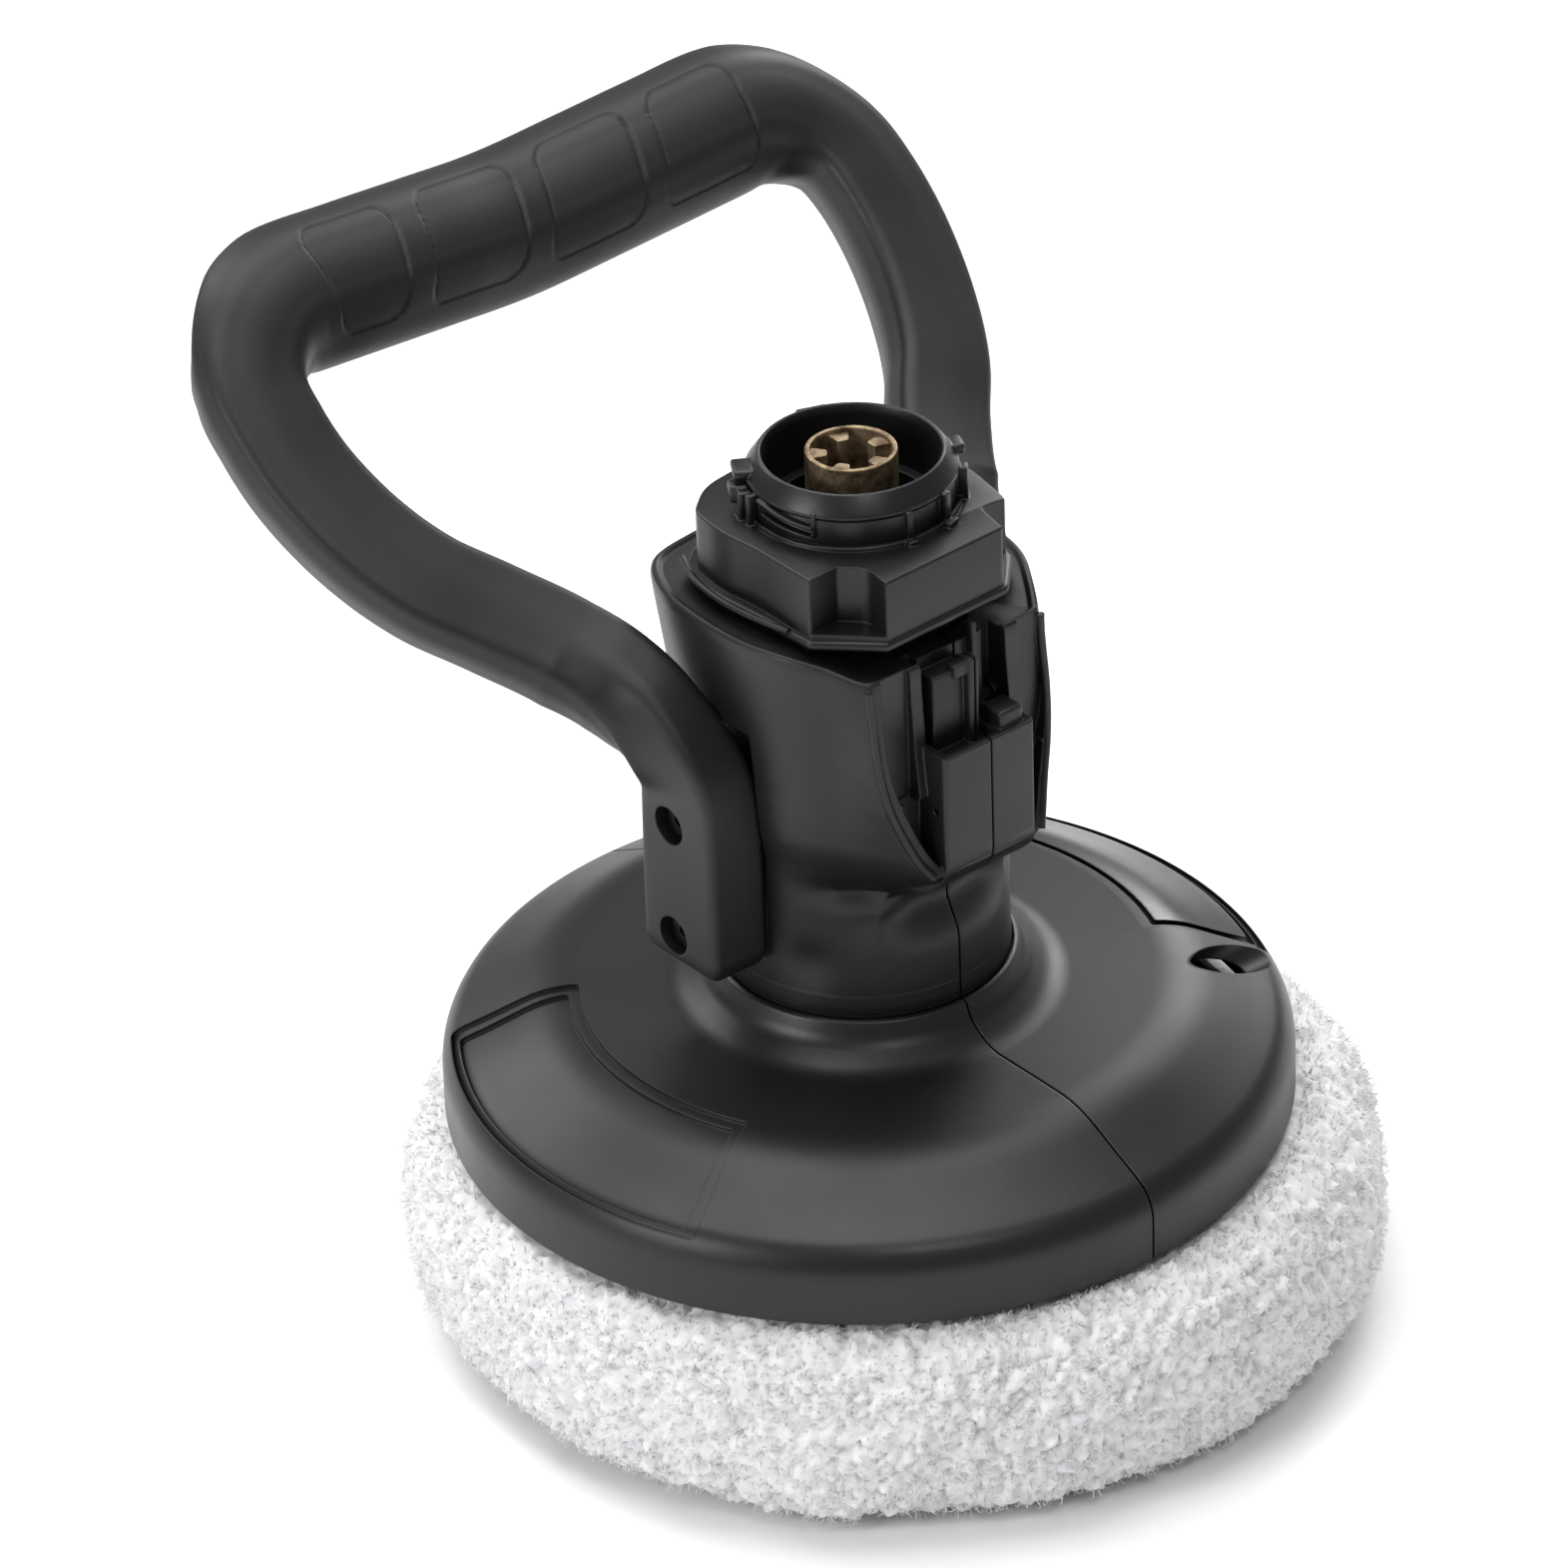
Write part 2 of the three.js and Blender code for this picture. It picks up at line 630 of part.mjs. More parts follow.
// ------------------------------------------------------------------------- pad stack
function padStack() {
  const { x, y } = ORBIT;
  const race = bearing(5.3, 12.9, 46.4, 55.4).translate([x, y, 0]);
  place(head, "pad_bearing", race, MATERIALS.steel);
  const hub = turned(
    [
      [2.6, 33.2],
      [11, 33.2],
      [11, 42.4],
      [7, 42.4],
      [7, 46],
      [5, 46],
      [5, 55.2],
      [2.6, 55.2],
      [2.6, 33.2],
    ],
    FACETS.small,
    x,
    y,
  );
  place(head, "pad_hub", hub, MATERIALS.steel);
  const plate = turned(
    [
      [11.3, PLATE_Z + 0.4],
      [PAD_R - 6, PLATE_Z + 0.4],
      [PAD_R - 4, PLATE_Z + 2],
      [PAD_R - 6, PLATE_TOP - 1.5],
      [26, PLATE_TOP],
      [17, PLATE_TOP + 3.5],
      [11.3, PLATE_TOP + 3.5],
      [11.3, PLATE_Z + 0.4],
    ],
    FACETS.medium,
    x,
    y,
  );
  place(head, "backing_plate", plate, MATERIALS.nylonDark);
  const screw = turned(
    [[0, 28.4], [4.6, 28.4], [4.6, 31.6], [2.3, 31.6], [2.3, 52], [0, 52]],
    12,
    x,
    y,
  );
  place(head, "pad_screw", screw, MATERIALS.darkSteel);
  place(head, "pad_washer", ring(2.7, 7.5, 31.9, 32.9, 20, x, y), MATERIALS.steel);
  const foam = turned(
    [
      [0, FOAM_Z],
      [PAD_R - 6, FOAM_Z],
      [PAD_R - 1, FOAM_Z + 4],
      [PAD_R, FOAM_Z + 11],
      [PAD_R - 2.5, PLATE_Z],
      [9, PLATE_Z],
      [9, PLATE_Z - 5],
      [0, PLATE_Z - 5],
    ],
    FACETS.medium,
    x,
    y,
  );
  place(head, "foam_pad", foam, MATERIALS.foam);
  bonnet();
}

// A fleece cover drawn over the foam pad, with its elastic hem turned in over the edge.
function bonnet() {
  const profile = [
    [0, 0],
    [75, 0],
    [85.5, 3.2],
    [92, 10.5],
    [BONNET_R, 21],
    [91.5, 32],
    [86, 38.6],
    [80, BONNET_TOP],
    [75.5, BONNET_TOP - 0.6],
    [75.5, 38.2],
    [79.6, 34.5],
    [80, 14],
    [74, FOAM_Z - GAP],
    [0, FOAM_Z - GAP],
  ];
  place(head, "bonnet", turned(profile, FACETS.large, ORBIT.x, ORBIT.y), MATERIALS.wool);
}

// ---------------------------------------------------------------------------- handle
// Each station gives a point of the ridge along the top of the bar, how far its section
// has turned from the foot's (0) to the arm's (1) and on to the grip's (2), and the
// direction the top of the section faces, as degrees up from straight forward.
const LOOP_TILT = 49.5;
const RIDGE = [
  { at: [41, -5.2, 84.5], kind: 0, tilt: 0 },
  { at: [41, -5.2, 104], kind: 0, tilt: 0 },
  { at: [41, -5.2, 119], kind: 0, tilt: 0 },
  { at: [41.6, -4.3, 125.6], kind: 0.12, tilt: 8 },
  { at: [43.2, -1, 133.6], kind: 0.32, tilt: 22 },
  { at: [43.9, 6.6, 141.8], kind: 0.6, tilt: 38 },
  { at: [45.1, 16.3, 146.9], kind: 0.85, tilt: 50 },
  { at: [48.4, 25.2, 150.7], kind: 1, tilt: 56 },
  { at: [56.5, 36.4, 156.3], kind: 1, tilt: 54 },
  { at: [64.5, 45.5, 161.9], kind: 1, tilt: 52 },
  { at: [70.4, 56.2, 169.1], kind: 1, tilt: LOOP_TILT },
  { at: [74.1, 68.4, 178.3], kind: 1, tilt: LOOP_TILT },
  { at: [74.7, 77.6, 185.9], kind: 1, tilt: LOOP_TILT },
  { at: [73.6, 84.3, 191.5], kind: 1.05, tilt: LOOP_TILT },
  { at: [69.5, 89.2, 196.3], kind: 1.35, tilt: LOOP_TILT },
  { at: [63.4, 92.3, 200.5], kind: 1.75, tilt: LOOP_TILT },
  { at: [55.3, 93.8, 202.6], kind: 2, tilt: LOOP_TILT },
  { at: [38, 94.1, 201.9], kind: 2, tilt: LOOP_TILT },
  { at: [18, 94.8, 200.3], kind: 2, tilt: LOOP_TILT },
  { at: [0, 95.8, 198.8], kind: 2, tilt: LOOP_TILT },
];
// Section corners as [outward, up] from the ridge: ridge, outer edge, outer side,
// bottom outer, bottom inner, inner side, inner edge.
const SECTIONS = [
  [[0, 0], [0, -21.2], [-4.2, -21.2], [-8.5, -21.2], [-12.7, -21.2], [-12.7, -10], [-12.7, 0]],
  [[0, 0], [8.3, -1.8], [9.3, -7.5], [6.3, -16.1], [-8.3, -17.6], [-11.8, -7.8], [-10.5, 0]],
  [[0, 0], [9.7, -2.2], [16.4, -10.3], [9.3, -24.4], [-9.6, -25.8], [-16.1, -14.1], [-9.4, -1.1]],
];
const SOFTENING = [0.08, 0.24, 0.32];
const HANDLE_STEPS = 23; // lengths between rings, from one foot to the grip's middle

function sectionAt(kind) {
  const low = Math.min(1, Math.floor(kind));
  const share = kind - low;
  const corners = SECTIONS[low].map(([u, n], i) => [
    lerp(u, SECTIONS[low + 1][i][0], share),
    lerp(n, SECTIONS[low + 1][i][1], share),
  ]);
  const soft = lerp(SOFTENING[low], SOFTENING[low + 1], share);
  const count = corners.length;
  return corners.flatMap(([u, n], i) => {
    const before = corners[(i + count - 1) % count];
    const after = corners[(i + 1) % count];
    return [before, after].map(([pu, pn]) => [lerp(u, pu, soft), lerp(n, pn, soft)]);
  });
}

function handleRings(steps) {
  const curve = new THREE.CatmullRomCurve3(
    RIDGE.map(({ at }) => vec(...at)),
    false,
    "centripetal",
  );
  const rings = [];
  for (let i = 0; i <= steps; i++) {
    const t = i / steps;
    const along = t * (RIDGE.length - 1);
    const low = Math.min(RIDGE.length - 2, Math.floor(along));
    const share = along - low;
    const kind = lerp(RIDGE[low].kind, RIDGE[low + 1].kind, share);
    const tilt = rad(lerp(RIDGE[low].tilt, RIDGE[low + 1].tilt, share));
    const centre = curve.getPoint(t);
    const ahead = i === steps ? vec(-1, 0, 0) : curve.getTangent(t);
    const up = vec(0, -Math.cos(tilt), Math.sin(tilt));
    up.addScaledVector(ahead, -up.dot(ahead)).normalize();
    const outward = ahead.clone().cross(up).normalize();
    rings.push(
      sectionAt(kind).map(([u, n]) =>
        centre.clone().addScaledVector(outward, u).addScaledVector(up, n),
      ),
    );
  }
  return rings;
}

function handle() {
  const right = handleRings(HANDLE_STEPS);
  const left = right
    .slice(0, -1)
    .reverse()
    .map((points) => points.map((p) => vec(-p.x, p.y, p.z)));
  const tools = [];
  for (const side of [-1, 1]) {
    for (const z of FOOT_SCREW_Z) {
      const [near, far] = [FOOT.inner - 1, FOOT.outer + 3];
      const seat = FOOT.outer - 5.4;
      const spans = side > 0 ? [[near, far], [seat, far]] : [[-far, -near], [-far, -seat]];
      tools.push(rodX(2.2, ...spans[0], FOOT_SCREW_Y, z));
      tools.push(rodX(4, ...spans[1], FOOT_SCREW_Y, z, 14));
    }
  }
  place(head, "handle", cut(loft([...right, ...left]), tools), MATERIALS.grip);
}

// ---------------------------------------------------------------------------- screws
// A cap screw lying along X, head towards the given side, its head's underside at seat.
function screw(name, side, seat, length, headR, shankR, y, z) {
  const [headFrom, headTo] = side > 0 ? [seat, seat + 2.6] : [-seat - 2.6, -seat];
  const [shankFrom, shankTo] = side > 0 ? [seat - length, seat + 0.5] : [-seat - 0.5, -seat + length];
  const cap = rodX(headR, headFrom, headTo, y, z, 12);
  const [driveFrom, driveTo] = side > 0 ? [headTo - 1.4, headTo + 1] : [headFrom - 1, headFrom + 1.4];
  const recess = rodX(headR * 0.42, driveFrom, driveTo, y, z, 6);
  const shank = rodX(shankR, shankFrom, shankTo, y, z, 8);
  place(head, name, cap.add(shank).subtract(recess), MATERIALS.darkSteel);
}

function screws() {
  let count = 1;
  for (const side of [-1, 1]) {
    for (const z of FOOT_SCREW_Z) {
      const seat = FOOT.outer - 5.4 + GAP;
      screw(`handle_screw_${count}`, side, seat, 10.5, 3.5, 1.7, FOOT_SCREW_Y, z);
      count += 1;
    }
  }
  [-1, 1].forEach((side, i) => {
    const seat = DISC_SCREW.seat + GAP;
    screw(`disc_screw_${i + 1}`, 1, seat, 26, 3.6, 1.7, side * DISC_SCREW.y, DISC_SCREW.z);
  });
  NECK_SCREWS.forEach(({ y, z }, i) => {
    screw(`neck_screw_${i + 1}`, 1, NECK_SEAT + GAP, 18, 2.8, 1.5, y, z);
  });
}

housingHalves();
couplerBody();
gearbox();
inputDrive();
planets();
outputSpindle();
counterweight();
padStack();
handle();
screws();

export default head;
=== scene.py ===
"""Looks of a quick-change random-orbit polishing head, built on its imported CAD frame.

Sizes inside the script are millimetres and become metres in the meshes. The spindle axis
is the Z axis, the front with the latch channel is at -Y and the grip is at +Y.
"""

import logging
import math
from dataclasses import dataclass, field
from enum import Enum

import bpy
import numpy as np
from mathutils import Matrix, Vector, kdtree, noise


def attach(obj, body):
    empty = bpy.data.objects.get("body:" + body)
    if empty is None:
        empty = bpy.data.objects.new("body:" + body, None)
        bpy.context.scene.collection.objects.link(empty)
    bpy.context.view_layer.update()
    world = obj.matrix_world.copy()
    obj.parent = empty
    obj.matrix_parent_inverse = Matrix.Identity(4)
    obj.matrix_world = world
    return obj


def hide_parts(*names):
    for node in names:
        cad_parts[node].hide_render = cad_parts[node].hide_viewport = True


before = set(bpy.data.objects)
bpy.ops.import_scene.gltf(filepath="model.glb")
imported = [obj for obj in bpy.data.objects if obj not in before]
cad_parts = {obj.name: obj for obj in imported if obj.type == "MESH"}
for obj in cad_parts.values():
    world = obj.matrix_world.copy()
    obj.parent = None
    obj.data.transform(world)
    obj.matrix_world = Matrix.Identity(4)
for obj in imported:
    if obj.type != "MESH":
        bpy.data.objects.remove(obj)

logging.basicConfig(level=logging.INFO, format="%(levelname)s %(message)s")
LOG = logging.getLogger("polishing_head")

MM = 0.001
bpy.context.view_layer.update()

Pair = tuple[float, float]
Triple = tuple[float, float, float]


# ------------------------------------------------------------------ colours and nodes
def linear(code: str, alpha: float = 1.0) -> tuple[float, float, float, float]:
    """Turns an sRGB hex colour to linear RGBA.

    Args:
        code: Colour as "#rrggbb".
        alpha: Opacity.

    Returns:
        Linear red, green, blue and alpha.
    """
    parts = [int(code[i : i + 2], 16) / 255 for i in (1, 3, 5)]
    red, green, blue = [c / 12.92 if c <= 0.04045 else ((c + 0.055) / 1.055) ** 2.4 for c in parts]
    return (red, green, blue, alpha)


def add_node(
    tree: bpy.types.NodeTree,
    kind: str,
    inputs: dict[str | int, object] | None = None,
    **settings: object,
) -> bpy.types.Node:
    """Adds a shader node with its settings, values and links.

    Args:
        tree: Node tree that gets the node.
        kind: Blender node type, such as "ShaderNodeTexNoise".
        inputs: Input socket to a value, or to an output socket that feeds it.
        **settings: Attributes set on the node.

    Returns:
        The new node.
    """
    node = tree.nodes.new(kind)
    for name, value in settings.items():
        setattr(node, name, value)
    for key, value in (inputs or {}).items():
        if isinstance(value, bpy.types.NodeSocket):
            tree.links.new(value, node.inputs[key])
        else:
            node.inputs[key].default_value = value
    return node


def per_metre(millimetres: float) -> float:
    """Noise scale whose features are about this many millimetres across."""
    return 1.0 / (millimetres * MM)


def add_noise(
    tree: bpy.types.NodeTree,
    place: bpy.types.NodeSocket,
    size_mm: float,
    detail: float,
    rough: float,
) -> bpy.types.NodeSocket:
    """Adds a noise pattern.

    Args:
        tree: Node tree that gets it.
        place: Coordinates in metres.
        size_mm: Size of its features in millimetres.
        detail: Layers of finer noise.
        rough: How strong the finer layers are.

    Returns:
        The noise, from 0 to 1.
    """
    settings = {"Vector": place, "Scale": per_metre(size_mm), "Detail": detail, "Roughness": rough}
    return add_node(tree, "ShaderNodeTexNoise", settings).outputs["Fac"]


def tint(
    tree: bpy.types.NodeTree,
    shader: bpy.types.Node,
    value: bpy.types.NodeSocket,
    low: tuple[float, str],
    high: tuple[float, str],
) -> None:
    """Colours a shader between two colours by a value.

    Args:
        tree: Node tree of the shader.
        shader: Shader that gets the colour.
        value: Value that picks the colour.
        low: Value and sRGB colour where the ramp starts.
        high: Value and sRGB colour where the ramp ends.
    """
    ramp = add_node(tree, "ShaderNodeValToRGB", {"Fac": value})
    for stop, (position, colour) in zip(ramp.color_ramp.elements, (low, high)):
        stop.color = linear(colour)
        stop.position = position
    tree.links.new(ramp.outputs["Color"], shader.inputs["Base Color"])


# ------------------------------------------------------------------------- finishes
@dataclass(frozen=True)
class Plastic:
    """Moulded plastic with a spark-eroded grain that scatters the highlight."""

    name: str
    colour: str
    worn_colour: str
    roughness: float
    grain_mm: float = 0.45
    grain_depth: float = 0.12
    cloud_mm: float = 38.0
    specular: float = 0.45
    edge_mm: float = 0.5

    def build(self) -> bpy.types.Material:
        """Makes the material.

        Returns:
            Material with a fine grain bump, faint handling marks and an uneven sheen.
        """
        material, tree, shader = new_material(self.name)
        place = add_node(tree, "ShaderNodeTexCoord").outputs["Object"]
        cloud = add_noise(tree, place, self.cloud_mm, 4.0, 0.6)
        tint(tree, shader, cloud, (0.42, self.colour), (0.78, self.worn_colour))
        smear = add_node(
            tree,
            "ShaderNodeMapRange",
            {
                "Value": cloud,
                "From Min": 0.3,
                "From Max": 0.7,
                "To Min": self.roughness + 0.05,
                "To Max": self.roughness - 0.05,
            },
        )
        tree.links.new(smear.outputs["Result"], shader.inputs["Roughness"])
        grain = add_noise(tree, place, self.grain_mm, 3.0, 0.7)
        edges = add_node(tree, "ShaderNodeBevel", {"Radius": self.edge_mm * MM}, samples=4)
        bump = add_node(
            tree,
            "ShaderNodeBump",
            {
                "Height": grain,
                "Strength": self.grain_depth,
                "Distance": 0.2 * MM,
                "Normal": edges.outputs["Normal"],
            },
        )
        tree.links.new(bump.outputs["Normal"], shader.inputs["Normal"])
        shader.inputs["Specular IOR Level"].default_value = self.specular
        return material


@dataclass(frozen=True)
class Metal:
    """Ground, turned or sintered metal with fine tool marks."""

    name: str
    colour: str
    dark_colour: str
    roughness: float
    mark_mm: float = 0.6
    mark_depth: float = 0.1
    mottle_mm: float = 3.0
    pitted: bool = False

    def build(self) -> bpy.types.Material:
        """Makes the material.

        Returns:
            Metal with a mottled tone and a fine bump.
        """
        material, tree, shader = new_material(self.name)
        place = add_node(tree, "ShaderNodeTexCoord").outputs["Object"]
        mottle = add_noise(tree, place, self.mottle_mm, 5.0, 0.65)
        tint(tree, shader, mottle, (0.35, self.dark_colour), (0.62, self.colour))
        shader.inputs["Metallic"].default_value = 1.0
        kind = "ShaderNodeTexVoronoi" if self.pitted else "ShaderNodeTexNoise"
        marks = add_node(tree, kind, {"Vector": place, "Scale": per_metre(self.mark_mm)})
        height = marks.outputs["Distance"] if self.pitted else marks.outputs["Fac"]
        rough = add_node(
            tree,
            "ShaderNodeMapRange",
            {"Value": height, "To Min": self.roughness - 0.06, "To Max": self.roughness + 0.1},
        )
        tree.links.new(rough.outputs["Result"], shader.inputs["Roughness"])
        bump = add_node(
            tree,
            "ShaderNodeBump",
            {"Height": height, "Strength": self.mark_depth, "Distance": 0.1 * MM},
        )
        tree.links.new(bump.outputs["Normal"], shader.inputs["Normal"])
        return material


@dataclass(frozen=True)
class Pile:
    """Soft fibre goods: fleece pile, felt or open foam."""

    name: str
    colour: str
    # Colour of the painted shade between the pile's clumps.
    shade_colour: str
    fibre_mm: float
    clump_mm: float
    depth: float = 0.5
    sheen: float = 0.3
    scatter_mm: float = 0.0

    def build(self) -> bpy.types.Material:
        """Makes the material.

        Returns:
            Matt fibre with painted shade between its clumps and a fine fuzz bump.
        """
        material, tree, shader = new_material(self.name)
        place = add_node(tree, "ShaderNodeTexCoord").outputs["Object"]
        clumps = add_noise(tree, place, self.clump_mm, 6.0, 0.7)
        # Painted shade: low values of the clump noise darken the pile towards its shade colour.
        tint(tree, shader, clumps, (0.3, self.shade_colour), (0.56, self.colour))
        fibres = add_noise(tree, place, self.fibre_mm, 4.0, 0.75)
        bump = add_node(
            tree,
            "ShaderNodeBump",
            {"Height": fibres, "Strength": self.depth, "Distance": 0.6 * MM},
        )
        tree.links.new(bump.outputs["Normal"], shader.inputs["Normal"])
        shader.inputs["Roughness"].default_value = 0.95
        shader.inputs["Specular IOR Level"].default_value = 0.2
        shader.inputs["Sheen Weight"].default_value = self.sheen
        shader.inputs["Sheen Roughness"].default_value = 0.5
        if self.scatter_mm > 0:
            shader.inputs["Subsurface Weight"].default_value = 0.35
            shader.inputs["Subsurface Radius"].default_value = (1.0, 1.0, 1.0)
            shader.inputs["Subsurface Scale"].default_value = self.scatter_mm * MM
        return material


def new_material(
    name: str,
) -> tuple[bpy.types.Material, bpy.types.NodeTree, bpy.types.Node]:
    """Makes an empty node material.

    Args:
        name: Material name.

    Returns:
        The material, its node tree and its Principled shader.
    """
    material = bpy.data.materials.new(name)
    material.use_nodes = True
    tree = material.node_tree
    tree.nodes.clear()
    shader = add_node(tree, "ShaderNodeBsdfPrincipled")
    add_node(tree, "ShaderNodeOutputMaterial", {"Surface": shader.outputs["BSDF"]})
    return material, tree, shader


# Glass-filled nylon from a spark-eroded mould: a fine even grain with a soft highlight.
SHELL = Plastic("moulded_nylon_shell", "#0d0d0f", "#141417", 0.4)
# The same nylon off a smoother tool, so its edges catch sharper lines of light.
COUPLER = Plastic("moulded_nylon_coupler", "#0d0d0e", "#131315", 0.36, grain_mm=0.35)
# Soft thermoplastic overmould: a dry touch, no sharp highlight.
GRIP = Plastic("elastomer_grip", "#0d0d0e", "#151517", 0.5, grain_mm=0.5, grain_depth=0.16)
# Smooth printed label film, left blank.
LABEL = Plastic("label_film", "#09090b", "#0c0c0e", 0.28, grain_mm=1.5, grain_depth=0.02)
# Pressed and sintered iron-bronze, tan with open pores.
SINTERED = Metal("sintered_bronze", "#a8957a", "#5a4a38", 0.5, mark_mm=0.5, pitted=True)
# Ground bearing steel: bright with faint grinding marks.
STEEL = Metal("ground_steel", "#c9cacc", "#a6a8ab", 0.26)
# Hardened gear steel: darker and slightly blue.
GEAR = Metal("hardened_steel", "#84868b", "#5c5e63", 0.34)
# Chemically blackened screws.
BLACKED = Metal("blackened_steel", "#4a4b4e", "#2b2b2d", 0.38)
# Die-cast zinc: dull grey with a coarse skin.
CAST = Metal("cast_zinc", "#9a9ca0", "#75777b", 0.5, mark_mm=1.2, mark_depth=0.3)
# Pressed wool felt.
FELT = Pile("wool_felt", "#6a655c", "#3f3c37", 0.35, 1.6)
# Open-cell polyurethane foam.
FOAM = Pile("polyurethane_foam", "#3a3f46", "#23262b", 0.5, 1.2, depth=0.8, sheen=0.1)
# White synthetic sheepskin: pile that lets a little light through.
FLEECE = Pile("acrylic_fleece", "#efefef", "#d9dbde", 0.45, 5.0, depth=0.4, scatter_mm=2.0)


class Finishes:
    """Builds each finish once and hands it out."""

    def __init__(self) -> None:
        """Starts with nothing built."""
        self._made: dict[str, bpy.types.Material] = {}

    def get(self, finish: Plastic | Metal | Pile) -> bpy.types.Material:
        """The material of a finish, built the first time it is asked for."""
        if finish.name not in self._made:
            self._made[finish.name] = finish.build()
        return self._made[finish.name]

    def dress(self, piece: bpy.types.Object, finish: Plastic | Metal | Pile) -> None:
        """Gives a piece one finish all over."""
        material = self.get(finish)
        if piece.data.materials:
            for index in range(len(piece.data.materials)):
                piece.data.materials[index] = material
        else:
            piece.data.materials.append(material)


# ------------------------------------------------------------------------ modelling
def deselect() -> None:
    """Leaves object mode with nothing selected."""
    if bpy.context.object and bpy.context.object.mode != "OBJECT":
        bpy.ops.object.mode_set(mode="OBJECT")
    bpy.ops.object.select_all(action="DESELECT")


def pick(piece: bpy.types.Object) -> None:
    """Makes a piece the only selected one and the active one."""
    deselect()
    piece.select_set(True)
    bpy.context.view_layer.objects.active = piece


def piece_from(
    name: str,
    points: list[Triple],
    faces: list[tuple[int, ...]],
    edges: list[tuple[int, int]] | None = None,
) -> bpy.types.Object:
    """Makes an object from points in millimetres.

    Args:
        name: Object name.
        points: Vertices in millimetres.
        faces: Vertex indices of each face.
        edges: Loose edges, where there are no faces.

    Returns:
        The new object, at the origin.
    """
    mesh = bpy.data.meshes.new(name)
    mesh.from_pydata([(x * MM, y * MM, z * MM) for x, y, z in points], edges or [], faces)
    mesh.update()
    piece = bpy.data.objects.new(name, mesh)
    bpy.context.scene.collection.objects.link(piece)
    return piece


def close_up(piece: bpy.types.Object, merge_mm: float = 0.001) -> None:
    """Merges doubles and turns every face outwards."""
    pick(piece)
    bpy.ops.object.mode_set(mode="EDIT")
    bpy.ops.mesh.select_all(action="SELECT")
    bpy.ops.mesh.remove_doubles(threshold=merge_mm * MM)
    bpy.ops.mesh.normals_make_consistent(inside=False)
    bpy.ops.object.mode_set(mode="OBJECT")


def smooth_step(start: float, end: float, value: float) -> float:
    """Eases from 0 at the start to 1 at the end."""
    t = min(1.0, max(0.0, (value - start) / (end - start)))
    return t * t * (3 - 2 * t)


def rounded(points: list[tuple[float, ...]], radius: float, steps: int = 4) -> list[Pair]:
    """Rounds the corners of a closed outline.

    Args:
        points: Corners as (a, b), or (a, b, radius) where one differs.
        radius: Corner radius where a corner states none.
        steps: Lengths in each rounded corner.

    Returns:
        The outline's points, with each corner as a short curve.
    """
    out: list[Pair] = []
    count = len(points)
    for i, corner in enumerate(points):
        here = Vector(corner[:2])
        size = corner[2] if len(corner) > 2 else radius
        before = Vector(points[i - 1][:2]) - here
        after = Vector(points[(i + 1) % count][:2]) - here
        reach = min(size, 0.45 * before.length, 0.45 * after.length)
        if reach < 1e-4 or before.length < 1e-6 or after.length < 1e-6:
            out.append((here.x, here.y))
            continue
        start = here + before.normalized() * reach
        end = here + after.normalized() * reach
        for k in range(steps + 1):
            t = k / steps
            spot = start * (1 - t) ** 2 + here * 2 * t * (1 - t) + end * t**2
            out.append((spot.x, spot.y))
    return out


def spun(
    name: str,
    profile: list[Pair],
    steps: int = 96,
    centre: Pair = (0.0, 0.0),
) -> bpy.types.Object:
    """Spins a profile of (radius, height) about an upright axis.

    Args:
        name: Object name.
        profile: Points in millimetres.
        steps: Facets round the axis.
        centre: Axis position.

    Returns:
        The closed, outward-facing solid.
    """
    points = [(centre[0] + r, centre[1], z) for r, z in profile]
    count = len(points)
    edges = [(i, (i + 1) % count) for i in range(count)]
    piece = piece_from(name, points, [], edges)
    pick(piece)
    bpy.ops.object.mode_set(mode="EDIT")
    bpy.ops.mesh.select_all(action="SELECT")
    bpy.ops.mesh.spin(
        steps=steps,
        angle=2 * math.pi,
        center=(centre[0] * MM, centre[1] * MM, 0),
        axis=(0, 0, 1),
    )
    bpy.ops.object.mode_set(mode="OBJECT")
    close_up(piece)
    return piece


class Axis(Enum):
    """Direction that an outline is extruded along."""

    X = 0
    Y = 1
    Z = 2


def prism(
    name: str, outline: list[Pair], low: float, high: float, along: Axis = Axis.Z
) -> bpy.types.Object:
    """Extrudes an outline between two places along an axis.

    Args:
        name: Object name.
        outline: Points on the other two axes, in the order X, Y, Z.
        low: Where it starts.
        high: Where it ends.
        along: Axis of the extrusion.

    Returns:
        The closed prism.
    """
    points = []
    for spot in outline:
        place = list(spot)
        place.insert(along.value, low)
        points.append(tuple(place))
    piece = piece_from(name, points, [tuple(range(len(points)))])
    shift = [0.0, 0.0, 0.0]
    shift[along.value] = (high - low) * MM
    pick(piece)
    bpy.ops.object.mode_set(mode="EDIT")
    bpy.ops.mesh.select_all(action="SELECT")
    bpy.ops.mesh.extrude_region_move(TRANSFORM_OT_translate={"value": shift})
    bpy.ops.object.mode_set(mode="OBJECT")
    close_up(piece)
    return piece


def block(name: str, low: Triple, high: Triple, soften: float = 0.0) -> bpy.types.Object:
    """A box between two corners, with its edges rounded where asked.

    Args:
        name: Object name.
        low: Lowest corner in millimetres.
        high: Highest corner in millimetres.
        soften: Edge radius in millimetres.

    Returns:
        The block.
    """
    deselect()
    middle = [(a + b) / 2 * MM for a, b in zip(low, high)]
    bpy.ops.mesh.primitive_cube_add(size=1, location=middle)
    piece = bpy.context.object
    piece.name = name
    piece.scale = [(b - a) * MM for a, b in zip(low, high)]
    bpy.ops.object.transform_apply(location=True, rotation=True, scale=True)
    if soften > 0:
        bevel(piece, soften, 3)
    return piece


